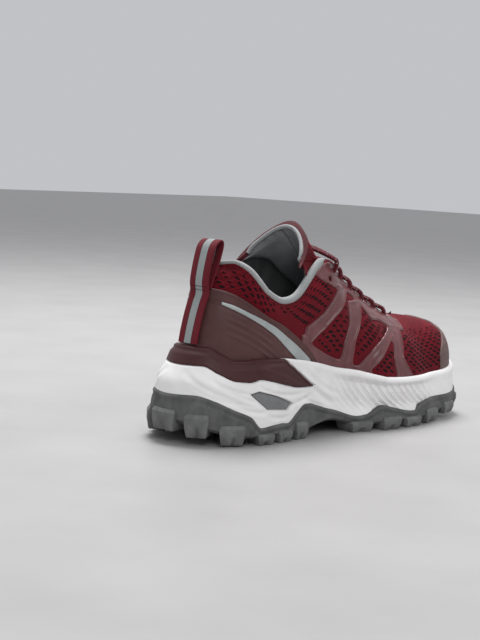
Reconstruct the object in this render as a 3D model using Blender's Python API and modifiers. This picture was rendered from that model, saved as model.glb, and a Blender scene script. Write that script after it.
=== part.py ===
"""A trail running shoe for the right foot, standing on its lugs.

X runs from the heel's back to the toe's tip, +Y is the inner (medial) side, +Z is up.
The origin is on the floor, under the middle of the shoe's outline.
Every piece is cut from one last: vertical planes, here called ribs, fan round the heel,
cross the foot and fan round the toe, and each piece has its own outline in those planes.
"""

import bisect
import math
from collections import namedtuple

import bmesh
import bpy
from mathutils import Matrix, Vector

MM = 0.001

# Driving sizes of the sole
SHOE_LENGTH = 300 * MM
BALL_WIDTH = 110 * MM
HEEL_STACK = 34 * MM
LUG_DEPTH = 5 * MM
PLATE_THICKNESS = 3 * MM
HEEL_BEVEL = 11 * MM
TOE_SPRING = 15 * MM
ARCH_LIFT = 5 * MM
OUTSOLE_WALL = 5 * MM
OUTSOLE_LIP = 1.4 * MM
LUG_WIDTH = 13 * MM
LUG_PROUD = 1.2 * MM
LUG_TAPER = 1.6 * MM
LUG_ROOT = 0.6 * MM
LUG_CLIMB = 3.2 * MM
FLUTE_DEPTH = 1.6 * MM
SCOOP_DEPTH = 3.0 * MM
FLUTE_STEP = 0.021
WINDOW_DEPTH = 3.5 * MM
WINDOW_INSET = 1.0 * MM

# Driving sizes of the upper
COLLAR_HEIGHT = 120 * MM
INSTEP_RISE = 2 * MM
INSTEP_HEIGHT = COLLAR_HEIGHT + INSTEP_RISE
UPPER_WALL = 2.4 * MM
RIDGE_SLOPE = -0.05
OVERLAY = 1.0 * MM
OVERLAY_LIFT = 0.65 * MM
TOE_CAP = 1.4 * MM
STRIPE = 0.5 * MM
CLIP_THICKNESS = 2.4 * MM
BINDING_RADIUS = 2.5 * MM
INSOLE_THICKNESS = 4 * MM
INSOLE_CLEARANCE = 1.8 * MM
TONGUE_THICKNESS = 7 * MM
TAB_WIDTH = 18 * MM
TAB_WEB = 1.6 * MM
LACE_RADIUS = 2.2 * MM
LACE_CLEARANCE = 1.2 * MM
EYELET_RADIUS = 2.4 * MM
GAP = 0.4 * MM

# The ribs fan round these two centres
HEEL_CENTRE = 0.2 * SHOE_LENGTH
TOE_CENTRE = SHOE_LENGTH * 49 / 60
TOE_SWING = 3 * MM
HEEL_TURN = 0.24
TOE_TURN = 0.763
HEEL_SQUARENESS = 2.1
TOE_SQUARENESS = 2.15

LATERAL = -1
MEDIAL = 1
SIDES = {"lateral": LATERAL, "medial": MEDIAL}
UPPER_ROWS = 8


class Table:
    """Rows of hand-chosen sizes, read as smooth curves without overshoot."""

    def __init__(self, columns, rows):
        self.columns = columns.split()
        self.rows = rows
        self.keys = [row[0] for row in rows]

    def slope(self, column, i):
        if i <= 0 or i >= len(self.keys) - 1:
            return 0.0
        before = (self.rows[i][column] - self.rows[i - 1][column]) / (self.keys[i] - self.keys[i - 1])
        after = (self.rows[i + 1][column] - self.rows[i][column]) / (self.keys[i + 1] - self.keys[i])
        if before * after <= 0:
            return 0.0
        return 2 * before * after / (before + after)

    def at(self, name, key):
        column = self.columns.index(name)
        key = min(max(key, self.keys[0]), self.keys[-1])
        i = min(max(bisect.bisect_right(self.keys, key) - 1, 0), len(self.keys) - 2)
        span = self.keys[i + 1] - self.keys[i]
        t = (key - self.keys[i]) / span
        low, high = self.rows[i][column], self.rows[i + 1][column]
        m0, m1 = self.slope(column, i) * span, self.slope(column, i + 1) * span
        return (
            low * (2 * t**3 - 3 * t**2 + 1) + m0 * (t**3 - 2 * t**2 + t)
            + high * (3 * t**2 - 2 * t**3) + m1 * (t**3 - t**2)
        )


# Half widths of the sole over the ball width, along the length between the two fans
SOLE_OUTLINE = Table("along lateral medial", (
    (0.20, 0.412, 0.378),
    (0.30, 0.396, 0.356),
    (0.40, 0.392, 0.342),
    (0.50, 0.437, 0.362),
    (0.60, 0.495, 0.427),
    (0.66, 0.500, 0.470),
    (0.74, 0.486, 0.500),
    (0.817, 0.440, 0.478),
))

# Height of the footbed over the heel stack, along the length
FOOTBED = Table("along height", (
    (0.00, 1.00),
    (0.30, 0.97),
    (0.50, 0.85),
    (0.70, 0.76),
    (0.85, 0.80),
    (1.00, 1.06),
))

# The upper's ribs, by share of the way from heel to toe. Inset of the wall's foot from the sole and the
# top edge's reach are over the ball width, heights over the collar height, and lean is in degrees.
UPPER_SECTIONS = Table("share inset swell shoulder reach height lean handle", (
    (0.00, 0.182, 0.000, 0.32, 0.170, 1.005, 30, 0.40),
    (0.12, 0.148, 0.006, 0.32, 0.186, 1.020, 20, 0.36),
    (0.18, 0.112, 0.014, 0.32, 0.246, 0.985, 12, 0.34),
    (0.24, 0.090, 0.022, 0.32, 0.312, 0.860, 8, 0.34),
    (0.285, 0.078, 0.026, 0.32, 0.325, 0.800, 8, 0.34),
    (0.32, 0.070, 0.026, 0.32, 0.325, 0.818, 10, 0.34),
    (0.353, 0.063, 0.024, 0.32, 0.315, 0.895, 15, 0.34),
    (0.387, 0.060, 0.020, 0.32, 0.295, 0.985, 20, 0.34),
    (0.424, 0.058, 0.018, 0.32, 0.262, 1.040, 27, 0.34),
    (0.452, 0.056, 0.018, 0.32, 0.225, 1.030, 36, 0.35),
    (0.494, 0.054, 0.018, 0.32, 0.160, 0.955, 50, 0.36),
    (0.565, 0.050, 0.016, 0.34, 0.150, 0.825, 60, 0.38),
    (0.636, 0.050, 0.016, 0.36, 0.140, 0.725, 68, 0.42),
    (0.678, 0.052, 0.016, 0.38, 0.125, 0.680, 76, 0.48),
    (0.703, 0.052, 0.016, 0.40, 0.080, 0.664, 84, 0.56),
    (0.724, 0.052, 0.016, 0.42, 0.000, 0.658, 90, 0.68),
    (0.763, 0.054, 0.016, 0.48, 0.000, 0.650, 90, 0.80),
    (0.880, 0.056, 0.016, 0.58, 0.000, 0.650, 90, 0.96),
    (1.000, 0.058, 0.016, 0.60, 0.000, 0.650, 90, 0.98),
))

# Edges on the sole's side over the heel stack: foxing is the rubber's upper edge, wing_low and wing_high
# bound the heel clip, and rim is the top of the white foam or, round the heel, of the clip.
SIDE_LINES = Table("share foxing wing_low wing_high rim lip", (
    (0.000, 0.98, 1.55, 1.92, 1.92, 0.030),
    (0.060, 1.00, 1.56, 1.91, 1.91, 0.030),
    (0.097, 0.90, 1.42, 1.80, 1.80, 0.030),
    (0.138, 0.72, 1.28, 1.68, 1.68, 0.034),
    (0.175, 0.58, 1.26, 1.69, 1.69, 0.038),
    (0.205, 0.34, 1.31, 1.72, 1.72, 0.042),
    (0.240, 0.37, 1.26, 1.72, 1.72, 0.046),
    (0.268, 0.39, 1.19, 1.71, 1.71, 0.050),
    (0.285, 0.37, 1.15, 1.60, 1.70, 0.052),
    (0.315, 0.57, 1.09, 1.40, 1.66, 0.052),
    (0.338, 0.73, 1.08, 1.24, 1.63, 0.050),
    (0.358, 0.71, 1.08, 1.12, 1.59, 0.048),
    (0.370, 0.67, 1.08, 1.08, 1.57, 0.046),
    (0.430, 0.51, 1.00, 1.00, 1.43, 0.042),
    (0.493, 0.34, 0.90, 0.90, 1.33, 0.036),
    (0.514, 0.36, 0.90, 0.90, 1.28, 0.034),
    (0.556, 0.54, 0.90, 0.90, 1.18, 0.032),
    (0.577, 0.49, 0.90, 0.90, 1.14, 0.030),
    (0.661, 0.34, 0.90, 0.90, 1.10, 0.030),
    (0.682, 0.47, 0.90, 0.90, 1.10, 0.030),
    (0.745, 0.56, 0.90, 0.90, 1.11, 0.030),
    (0.830, 0.58, 0.92, 0.92, 1.16, 0.030),
    (0.920, 0.74, 1.02, 1.02, 1.28, 0.030),
    (1.000, 0.84, 1.10, 1.10, 1.42, 0.030),
))
CLIP_END = 0.358
SEAT_END = 0.370
WING_START = 0.268
STEP_GAP = 0.001
FLUTES_FROM = 0.43
FLUTES_TO = 0.745

Rib = namedtuple("Rib", "share side x y dx dy")


def rib_at(side, share):
    """The vertical plane at this share of the way round, from the heel's back to the toe's tip."""
    if share <= HEEL_TURN:
        angle = math.pi / 2 * share / HEEL_TURN
        return Rib(share, side, HEEL_CENTRE, 0.0, -math.cos(angle), side * math.sin(angle))
    if share >= TOE_TURN:
        angle = math.pi / 2 * (1 - share) / (1 - TOE_TURN)
        return Rib(share, side, TOE_CENTRE, TOE_SWING, math.cos(angle), side * math.sin(angle))
    along = (share - HEEL_TURN) / (TOE_TURN - HEEL_TURN)
    x = HEEL_CENTRE + along * (TOE_CENTRE - HEEL_CENTRE)
    return Rib(share, side, x, along * TOE_SWING, 0.0, float(side))


def place(rib, radius, height):
    return Vector((rib.x + rib.dx * radius, rib.y + rib.dy * radius, height))


def plan_x(rib, radius):
    return rib.x + rib.dx * radius


def superellipse(rib, half_length, half_width, squareness):
    return (
        (abs(rib.dx) / half_length) ** squareness + (abs(rib.dy) / half_width) ** squareness
    ) ** (-1 / squareness)


def sole_radius(rib):
    """How far the sole's widest edge is from the middle line, in this rib's plane."""
    column = "lateral" if rib.side == LATERAL else "medial"
    half = SOLE_OUTLINE.at(column, rib.x / SHOE_LENGTH) * BALL_WIDTH - rib.side * rib.y
    if rib.share <= HEEL_TURN:
        return superellipse(rib, HEEL_CENTRE, half, HEEL_SQUARENESS)
    if rib.share >= TOE_TURN:
        return superellipse(rib, SHOE_LENGTH - TOE_CENTRE, half, TOE_SQUARENESS)
    return half


def ground_rise(x):
    """How far the lugs' tips are off the floor: a bevel at the heel and a spring at the toe."""
    heel_contact, toe_contact = 0.14 * SHOE_LENGTH, 0.74 * SHOE_LENGTH
    heel = max(0.0, (heel_contact - x) / heel_contact) ** 1.6 * HEEL_BEVEL
    toe = max(0.0, (x - toe_contact) / (SHOE_LENGTH - toe_contact)) ** 1.7 * TOE_SPRING
    return heel + toe


def plate_bottom(x):
    """Underside of the rubber between its lugs."""
    along = x / SHOE_LENGTH
    arch = math.sin(math.pi * (along - 0.30) / 0.22) ** 2 if 0.30 < along < 0.52 else 0.0
    return LUG_DEPTH + ground_rise(x) + ARCH_LIFT * arch


def plate_top(x):
    return plate_bottom(x) + PLATE_THICKNESS


def footbed(x):
    return FOOTBED.at("height", x / SHOE_LENGTH) * HEEL_STACK


def side_line(name, rib):
    return SIDE_LINES.at(name, rib.share) * HEEL_STACK


def upper_profile(rib, v):
    """Radius and height on the upper's outer face, from its foot at v 0 to its top edge or ridge at v 1."""
    row = lambda name: UPPER_SECTIONS.at(name, rib.share)
    foot_r = sole_radius(rib) - row("inset") * BALL_WIDTH
    foot_z = footbed(plan_x(rib, foot_r)) + GAP
    top_r = row("reach") * BALL_WIDTH
    top_z = row("height") * COLLAR_HEIGHT
    rise = top_z - foot_z
    lean = math.radians(row("lean"))
    reach = row("handle") * (rise if row("lean") < 80 else foot_r)
    tilt = RIDGE_SLOPE * rib.dx * reach if rib.share > TOE_TURN else 0.0
    points = (
        (foot_r, foot_z),
        (foot_r + row("swell") * BALL_WIDTH, foot_z + row("shoulder") * rise),
        (top_r + math.sin(lean) * reach, top_z - math.cos(lean) * reach + tilt),
        (top_r, top_z),
    )
    weights = ((1 - v) ** 3, 3 * v * (1 - v) ** 2, 3 * v * v * (1 - v), v**3)
    radius = sum(w * p[0] for w, p in zip(weights, points))
    height = sum(w * p[1] for w, p in zip(weights, points))
    return radius, height


def upper_share_at(rib, height):
    """The v at which the upper's wall reaches this height."""
    low, high = 0.0, 1.0
    for _ in range(22):
        middle = (low + high) / 2
        if upper_profile(rib, middle)[1] < height:
            low = middle
        else:
            high = middle
    return (low + high) / 2


def upper_radius(rib, height):
    return upper_profile(rib, upper_share_at(rib, height))[0]


def body_radius(rib, height):
    """The outer side of the sole, from the plate's edge up to the rim that holds the upper."""
    low_r = sole_radius(rib)
    low_z = plate_bottom(plan_x(rib, low_r)) + PLATE_THICKNESS
    rim_z = side_line("rim", rib)
    rim_r = upper_radius(rib, rim_z) + GAP + SIDE_LINES.at("lip", rib.share) * BALL_WIDTH
    s = min(max((height - low_z) / (rim_z - low_z), 0.0), 1.0)
    radius = rim_r + (low_r - rim_r) * (1 - s * s)
    if FLUTES_FROM < rib.share < FLUTES_TO:
        fade = math.sin(math.pi * (rib.share - FLUTES_FROM) / (FLUTES_TO - FLUTES_FROM)) ** 0.5
        band = math.sin(math.pi * min(s / 0.9, 1.0)) ** 2
        step = (rib.share - FLUTES_FROM) / FLUTE_STEP
        wave = 1 - abs(step % 2 - 1)
        radius -= fade * band * (SCOOP_DEPTH + FLUTE_DEPTH * wave)
    return radius


def remove_everything():
    for old in list(bpy.data.objects):
        bpy.data.objects.remove(old, do_unlink=True)


def collection(name):
    made = bpy.data.collections.new(name)
    bpy.context.scene.collection.children.link(made)
    return made


def material(name, colour, roughness, metallic=0.0):
    made = bpy.data.materials.new(name)
    made.use_nodes = True
    shader = made.node_tree.nodes["Principled BSDF"]
    shader.inputs["Base Color"].default_value = (*colour, 1.0)
    shader.inputs["Roughness"].default_value = roughness
    shader.inputs["Metallic"].default_value = metallic
    return made


def finish_mesh(bm, name, finish, group):
    """Welds, closes up and links a mesh as one named object."""
    bmesh.ops.remove_doubles(bm, verts=bm.verts, dist=0.00002)
    bmesh.ops.dissolve_degenerate(bm, edges=bm.edges, dist=0.00002)
    bmesh.ops.recalc_face_normals(bm, faces=bm.faces)
    mesh = bpy.data.meshes.new(name)
    bm.to_mesh(mesh)
    bm.free()
    made = bpy.data.objects.new(name, mesh)
    group.objects.link(made)
    if finish:
        mesh.materials.append(finish)
    return made


def skin(sections, loop_round=False, closed_sections=False, caps=False):
    """A loft: two triangles between each pair of points in neighbouring sections of equally many points."""
    bm = bmesh.new()
    rows = [[bm.verts.new(p) for p in section] for section in sections]
    across = len(rows[0])
    last_row = len(rows) if loop_round else len(rows) - 1
    last_point = across if closed_sections else across - 1
    for i in range(last_row):
        first, second = rows[i], rows[(i + 1) % len(rows)]
        for j in range(last_point):
            k = (j + 1) % across
            bm.faces.new((first[j], first[k], second[k]))
            bm.faces.new((first[j], second[k], second[j]))
    if caps:
        bm.faces.new(rows[0])
        bm.faces.new(reversed(rows[-1]))
    return bm


def ring_of_ribs(shares):
    """Ribs all the way round: heel to toe on the lateral side, and back on the medial side."""
    there = [rib_at(LATERAL, share) for share in shares]
    back = [rib_at(MEDIAL, share) for share in reversed(shares) if 0 < share < 1]
    return there + back


def even_shares(count, first=0.0, last=1.0):
    return [first + (last - first) * i / count for i in range(count + 1)]


def sole_shares():
    """Shares at the corners of the side's lines, with more between them where they lie far apart."""
    shares = [0.0]
    for low, high in zip(SIDE_LINES.keys, SIDE_LINES.keys[1:]):
        longest = FLUTE_STEP if FLUTES_FROM < high < FLUTES_TO + 0.01 else 0.045
        steps = max(1, math.ceil((high - low) / longest - 0.01))
        shares += even_shares(steps, low, high)[1:]
    return shares


def interface(rib, drop):
    """The joint between foam and rubber, from the middle line out to the foxing edge."""
    line = side_line("foxing", rib)
    edge = body_radius(rib, line)
    out = drop * 0.7
    points = [(0.0, plate_top(rib.x) - drop)]
    for radius in (0.6 * edge, edge - OUTSOLE_WALL + out):
        points.append((radius, plate_top(plan_x(rib, radius)) - drop))
    points.append((edge - OUTSOLE_LIP + out * 0.5, line - OUTSOLE_LIP - 1.6 * drop))
    points.append((body_radius(rib, line - 1.6 * drop), line - 1.6 * drop))
    return points


def midsole_section(rib, under_clip):
    """Outline of the foam in one rib: underside, side with the clip's seat, rim, cup and footbed."""
    points = interface(rib, 0.0)
    foxing = points[-1][1]
    rim = side_line("rim", rib)
    low, high = side_line("wing_low", rib), side_line("wing_high", rib)
    seat = CLIP_THICKNESS + 1.5 * GAP if rib.share < SEAT_END else 0.0
    top = low if under_clip else rim
    for step in (0.36, 0.7, 1.0):
        height = foxing + step * (low - foxing)
        points.append((body_radius(rib, height), height))
    points.append((body_radius(rib, low) - seat, low))
    if under_clip:
        points += [points[-1]] * 4
    elif high > rim - GAP:
        points += [(body_radius(rib, high) - seat, high)] * 4
    else:
        middle = high + 0.6 * (rim - high)
        rounding = 0.25 * SIDE_LINES.at("lip", rib.share) * BALL_WIDTH
        points.append((body_radius(rib, high) - seat, high))
        points.append((body_radius(rib, high), high))
        points.append((body_radius(rib, middle), middle))
        points.append((body_radius(rib, rim) - rounding, rim))
    points.append((upper_radius(rib, top) + GAP, top))
    foot_r, foot_z = upper_profile(rib, 0.0)
    floor = foot_z - GAP
    cup = min(cup_height(rib), (top + floor) / 2)
    points.append((upper_radius(rib, cup) + GAP, cup))
    points.append((foot_r + GAP, floor))
    half = 0.55 * foot_r
    points.append((half, footbed(plan_x(rib, half))))
    points.append((0.0, footbed(rib.x)))
    return [place(rib, radius, height) for radius, height in points]


def outsole_section(rib):
    """Outline of the rubber plate in one rib, with its edge wrapped up the side."""
    points = interface(rib, GAP)
    edge_r, edge_z = points[-1]
    low_r = sole_radius(rib)
    low_z = plate_bottom(plan_x(rib, low_r)) + PLATE_THICKNESS
    middle = (edge_z + low_z) / 2
    points.append((body_radius(rib, middle), middle))
    points.append((low_r - 0.3 * PLATE_THICKNESS, low_z - 0.5 * PLATE_THICKNESS))
    tuck = low_r - PLATE_THICKNESS
    points.append((tuck, plate_bottom(plan_x(rib, tuck))))
    points.append((0.6 * edge_r, plate_bottom(plan_x(rib, 0.6 * edge_r))))
    points.append((0.0, plate_bottom(rib.x)))
    return [place(rib, radius, height) for radius, height in points]


# Lugs on the edge, each between two shares of the way round, on both sides
EDGE_LUGS = (
    (0.045, 0.088),
    (0.107, 0.160),
    (0.192, 0.240),
    (0.254, 0.296),
    (0.308, 0.345),
    (0.472, 0.525),
    (0.552, 0.606),
    (0.625, 0.680),
    (0.702, 0.760),
    (0.785, 0.835),
    (0.862, 0.910),
)
END_LUG_HALF_SHARE = 0.028

# Chevrons down the middle, their points along the length and their width over the ball width
CHEVRON_LUGS = Table("along width points_back", (
    (0.115, 0.22, 1),
    (0.200, 0.26, 1),
    (0.530, 0.26, -1),
    (0.610, 0.34, -1),
    (0.690, 0.36, -1),
    (0.770, 0.34, -1),
    (0.850, 0.26, -1),
))
CHEVRON_LENGTH = 9 * MM


def prism(bm, corners, centre, climbs):
    """A tapered lug on this plan outline, its tip on the ground line and each corner's root in the plate."""
    tips, roots = [], []
    for corner, climb in zip(corners, climbs):
        inward = (centre - corner).normalized() * LUG_TAPER
        tip = corner + inward
        tips.append(bm.verts.new((tip.x, tip.y, ground_rise(centre.x))))
        roots.append(bm.verts.new((corner.x, corner.y, plate_bottom(corner.x) + climb)))
    bm.faces.new(reversed(tips))
    bm.faces.new(roots)
    for i in range(len(corners)):
        k = (i + 1) % len(corners)
        bm.faces.new((tips[i], tips[k], roots[k], roots[i]))


def edge_lug(bm, outer_ribs, inner_ribs):
    """A lug under the sole's edge: its outer corners stand proud and climb the side a little."""
    corners = [place(rib, sole_radius(rib) + LUG_PROUD, 0).to_2d() for rib in outer_ribs]
    corners += [place(rib, sole_radius(rib) - LUG_WIDTH, 0).to_2d() for rib in inner_ribs]
    centre = sum(corners, Vector((0, 0))) / len(corners)
    climbs = [LUG_CLIMB] * len(outer_ribs) + [LUG_ROOT] * len(inner_ribs)
    if outer_ribs[0].side == MEDIAL:
        corners.reverse()
        climbs.reverse()
    prism(bm, corners, centre, climbs)


def chevron_lug(bm, row):
    along, width, back = row
    x, half = along * SHOE_LENGTH, width * BALL_WIDTH / 2
    y = TOE_SWING * max(0.0, (x - HEEL_CENTRE) / (TOE_CENTRE - HEEL_CENTRE))
    sweep, arm = back * 0.45 * half, 0.5 * CHEVRON_LENGTH
    corners = [
        Vector((x - sweep - arm, y)), Vector((x - arm, y - half)), Vector((x + arm, y - half)),
        Vector((x - sweep + arm, y)), Vector((x + arm, y + half)), Vector((x - arm, y + half)),
    ]
    prism(bm, corners, Vector((x - sweep * 0.5, y)), [LUG_ROOT] * 6)


def make_lugs(group):
    bm = bmesh.new()
    for first, last in EDGE_LUGS:
        for side in (LATERAL, MEDIAL):
            ribs = [rib_at(side, first), rib_at(side, last)]
            if first < HEEL_TURN / 2 or last > TOE_TURN + 0.06:
                ribs.insert(1, rib_at(side, (first + last) / 2))
            edge_lug(bm, ribs, [ribs[-1], ribs[0]])
    heel_end, toe_end = END_LUG_HALF_SHARE, 1 - END_LUG_HALF_SHARE
    heel = [rib_at(MEDIAL, heel_end)._replace(side=LATERAL), rib_at(LATERAL, 0.0), rib_at(LATERAL, heel_end)]
    toe = [rib_at(LATERAL, toe_end), rib_at(LATERAL, 1.0), rib_at(MEDIAL, toe_end)]
    edge_lug(bm, heel, [heel[-1], heel[0]])
    edge_lug(bm, toe, [toe[-1], toe[0]])
    for row in CHEVRON_LUGS.rows:
        chevron_lug(bm, row)
    return finish_mesh(bm, "lug_blocks", None, group)


def helper(obj):
    obj.hide_render = True
    obj.display_type = "WIRE"
    return obj


def boolean(obj, other, operation):
    modifier = obj.modifiers.new(operation.lower(), "BOOLEAN")
    modifier.operation = operation
    modifier.solver = "EXACT"
    modifier.object = other
    return modifier


def merge_flat_faces(obj, degrees):
    modifier = obj.modifiers.new("flat", "DECIMATE")
    modifier.decimate_type = "DISSOLVE"
    modifier.angle_limit = math.radians(degrees)


def make_outsole(finish, group, cutters):
    ribs = ring_of_ribs(sole_shares())
    bm = skin([outsole_section(rib) for rib in ribs], loop_round=True)
    outsole = finish_mesh(bm, "outsole", finish, group)
    boolean(outsole, helper(make_lugs(cutters)), "UNION")
    merge_flat_faces(outsole, 0.2)
    return outsole


# Corners of the window in the foam's side: share of the way round, height over the heel stack
WINDOW = (
    (0.174, 1.03),
    (0.200, 1.08),
    (0.254, 0.96),
    (0.304, 0.77),
    (0.290, 0.64),
    (0.224, 0.70),
)


def window_plug(side, grow, front, back):
    """A block on the window's outline, between two depths from the foam's side."""
    middle_share = sum(row[0] for row in WINDOW) / len(WINDOW)
    middle_z = sum(row[1] for row in WINDOW) / len(WINDOW)
    bm = bmesh.new()
    rings = []
    for depth in (front, back):
        ring = []
        for share, height in WINDOW:
            share = middle_share + (share - middle_share) * grow
            height = (middle_z + (height - middle_z) * grow) * HEEL_STACK
            rib = rib_at(side, share)
            ring.append(bm.verts.new(place(rib, body_radius(rib, height) - depth, height)))
        rings.append(ring)
    centres = []
    for depth in (front, back):
        rib = rib_at(side, middle_share)
        height = middle_z * HEEL_STACK
        centres.append(bm.verts.new(place(rib, body_radius(rib, height) - depth, height)))
    count = len(WINDOW)
    for i in range(count):
        k = (i + 1) % count
        bm.faces.new((rings[0][i], rings[0][k], rings[1][k], rings[1][i]))
        for ring, centre in zip(rings, centres):
            bm.faces.new((ring[i], centre, ring[k]))
    return bm


def make_midsole(finish, group, cutters):
    sections = []
    for rib in ring_of_ribs(sole_shares()):
        if rib.share == WING_START:
            both = [midsole_section(rib, True), midsole_section(rib, False)]
            sections += both if rib.side == LATERAL else both[::-1]
        else:
            sections.append(midsole_section(rib, rib.share < WING_START))
    midsole = finish_mesh(skin(sections, loop_round=True), "midsole", finish, group)
    for name, side in SIDES.items():
        bm = window_plug(side, 1.0, -3 * MM, WINDOW_DEPTH)
        cutter = finish_mesh(bm, f"window_cutter_{name}", None, cutters)
        boolean(midsole, helper(cutter), "DIFFERENCE")
    return midsole


def make_window_inserts(finish, group):
    for name, side in SIDES.items():
        bm = window_plug(side, 0.90, WINDOW_INSET, WINDOW_DEPTH - GAP)
        finish_mesh(bm, f"window_insert_{name}", finish, group)


def clip_section(rib, full):
    """Outline of the heel clip: it stands on the foam's rim and ends in a wing let into the side."""
    low = side_line("wing_low", rib) + GAP
    high = side_line("wing_high", rib) - (0.0 if full else GAP)
    points = []
    for step in (1.0, 0.7, 0.35, 0.0):
        height = low + step * (high - low)
        points.append((body_radius(rib, height), height))
    for step in (0.0, 0.5, 1.0):
        height = low + step * (high - low)
        inner = upper_radius(rib, height) + GAP if full else body_radius(rib, height) - CLIP_THICKNESS
        points.append((inner, height))
    return [place(rib, radius, height) for radius, height in points]


def make_heel_clip(finish, group):
    half = []
    for share in sole_shares():
        if share < WING_START:
            half.append((share, True))
        elif share == WING_START:
            half += [(share - STEP_GAP, True), (share - STEP_GAP, False), (share, False)]
        elif share <= CLIP_END:
            half.append((share, False))
    sections = [clip_section(rib_at(MEDIAL, share), full) for share, full in reversed(half)]
    sections += [clip_section(rib_at(LATERAL, share), full) for share, full in half if share > 0]
    bm = skin(sections, closed_sections=True, caps=True)
    return finish_mesh(bm, "heel_clip", finish, group)


def cup_height(rib):
    """Height of the upper's first row, halfway up the foam's cup."""
    return (footbed(plan_x(rib, upper_profile(rib, 0.0)[0])) + side_line("rim", rib)) / 2


def upper_rows(rib):
    """Shares up the wall of the upper's rows: its foot, halfway up the cup, at the rim, and evenly on."""
    cup = upper_share_at(rib, cup_height(rib))
    rim = upper_share_at(rib, side_line("rim", rib))
    return [0.0, cup] + even_shares(UPPER_ROWS - 2, rim, 1.0)


def upper_point(rib, v):
    radius, height = upper_profile(rib, v)
    return place(rib, radius, height)


class LastSurface:
    """The upper's outer face as its facets: a spot is a place among the ribs and a place among the rows.

    Ribs are counted from the heel's back, up the lateral side, and below zero on the medial side."""

    def __init__(self):
        self.shares = sole_shares()
        self.ribs = ring_of_ribs(self.shares)
        self.count = len(self.ribs)
        self.rows = [upper_rows(rib) for rib in self.ribs]
        self.points = [[upper_point(rib, v) for v in rows] for rib, rows in zip(self.ribs, self.rows)]
        self.normals = [[self.normal(i, j) for j in range(UPPER_ROWS + 1)] for i in range(self.count)]

    def normal(self, i, j):
        rib, v = self.ribs[i], self.rows[i][j]
        across = upper_point(rib, min(v + 0.004, 1)) - upper_point(rib, max(v - 0.004, 0))
        along = self.points[(i + 1) % self.count][j] - self.points[i - 1][j]
        if along.length < 1e-6:
            return Vector((0, 0, 1))
        normal = along.cross(across).normalized()
        return normal if normal.dot(Vector((rib.dx, rib.dy, 0.6))) > 0 else -normal

    def place_of(self, side, share):
        i = min(max(bisect.bisect_right(self.shares, share) - 1, 0), len(self.shares) - 2)
        place_on = i + (share - self.shares[i]) / (self.shares[i + 1] - self.shares[i])
        return place_on if side == LATERAL else -place_on

    def share_of(self, k):
        k = abs(k)
        k = self.count - k if k > self.count / 2 else k
        i = min(int(k), len(self.shares) - 2)
        return self.shares[i] + (k - i) * (self.shares[i + 1] - self.shares[i])

    def row_at(self, k, height):
        """The place among the rows at which the facets reach this height."""
        low, high = 0.0, float(UPPER_ROWS)
        for _ in range(24):
            middle = (low + high) / 2
            if self.at(k, middle, 0.0).z < height:
                low = middle
            else:
                high = middle
        return (low + high) / 2

    def at(self, k, row, lift):
        row = min(max(row, 0.0), float(UPPER_ROWS))
        i, j = math.floor(k), min(int(row), UPPER_ROWS - 1)
        a, b = k - i, row - j
        found = Vector((0, 0, 0))
        for at_i, wi in ((i, 1 - a), (i + 1, a)):
            for at_j, wj in ((j, 1 - b), (j + 1, b)):
                if wi * wj > 0:
                    point = self.points[at_i % self.count][at_j]
                    found += wi * wj * (point + lift * self.normals[at_i % self.count][at_j])
        return found


def make_upper(finish, group, cutters, last):
    bm = skin(last.points, loop_round=True)
    upper = finish_mesh(bm, "upper", finish, group)
    wall = upper.modifiers.new("wall", "SOLIDIFY")
    wall.thickness = UPPER_WALL
    wall.offset = -1
    wall.use_even_offset = True
    bm = bmesh.new()
    for side in (LATERAL, MEDIAL):
        for share, row in EYELETS + (SPARE_EYELET,):
            k = last.place_of(side, share)
            low = last.at(k, row, -2.2 * UPPER_WALL)
            high = last.at(k, row, 2.2 * UPPER_WALL)
            axis = high - low
            turned = axis.to_track_quat("Z", "Y").to_matrix().to_4x4()
            turned.translation = (low + high) / 2
            bmesh.ops.create_cone(
                bm, cap_ends=True, segments=6, radius1=EYELET_RADIUS, radius2=EYELET_RADIUS,
                depth=axis.length, matrix=turned,
            )
    punch = finish_mesh(bm, "eyelet_punch", None, cutters)
    boolean(upper, helper(punch), "DIFFERENCE")
    return upper


# Flat patterns are drawn with one rib and one row at this size, and then wrapped on the last
FLAT = 0.01
FLAT_SLAB = 0.002


def slab(outline, name, group):
    """A flat piece of sheet with this outline, in ribs and rows."""
    bm = bmesh.new()
    corners = [bm.verts.new((k * FLAT, row * FLAT, 0)) for k, row in outline]
    face = bm.faces.new(corners)
    raised = bmesh.ops.extrude_face_region(bm, geom=[face])
    lifted = [e for e in raised["geom"] if isinstance(e, bmesh.types.BMVert)]
    bmesh.ops.translate(bm, verts=lifted, vec=(0, 0, FLAT_SLAB))
    return helper(finish_mesh(bm, name, None, group))


def wrap(flat, last, name, lift, thickness, finish, group):
    """Cuts the flat sheet along the last's ribs and rows and bends it on, between two lifts off it."""
    bm = bmesh.new()
    bm.from_object(flat, bpy.context.evaluated_depsgraph_get())
    for axis in (0, 1):
        reached = [vert.co[axis] / FLAT for vert in bm.verts]
        normal = Vector((1 - axis, axis, 0))
        for line in range(math.ceil(min(reached)), math.floor(max(reached)) + 1):
            geometry = bm.verts[:] + bm.edges[:] + bm.faces[:]
            bmesh.ops.bisect_plane(
                bm, geom=geometry, dist=1e-7, plane_co=normal * line * FLAT, plane_no=normal
            )
    bmesh.ops.remove_doubles(bm, verts=bm.verts, dist=1e-5)
    bmesh.ops.triangulate(bm, faces=bm.faces)
    for vert in bm.verts:
        share = vert.co.z / FLAT_SLAB
        vert.co = last.at(vert.co.x / FLAT, vert.co.y / FLAT, lift + share * thickness)
    wrapped = finish_mesh(bm, name, finish, group)
    merge_flat_faces(wrapped, 2.0)
    return wrapped


RIM_ROW = 2.1

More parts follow.
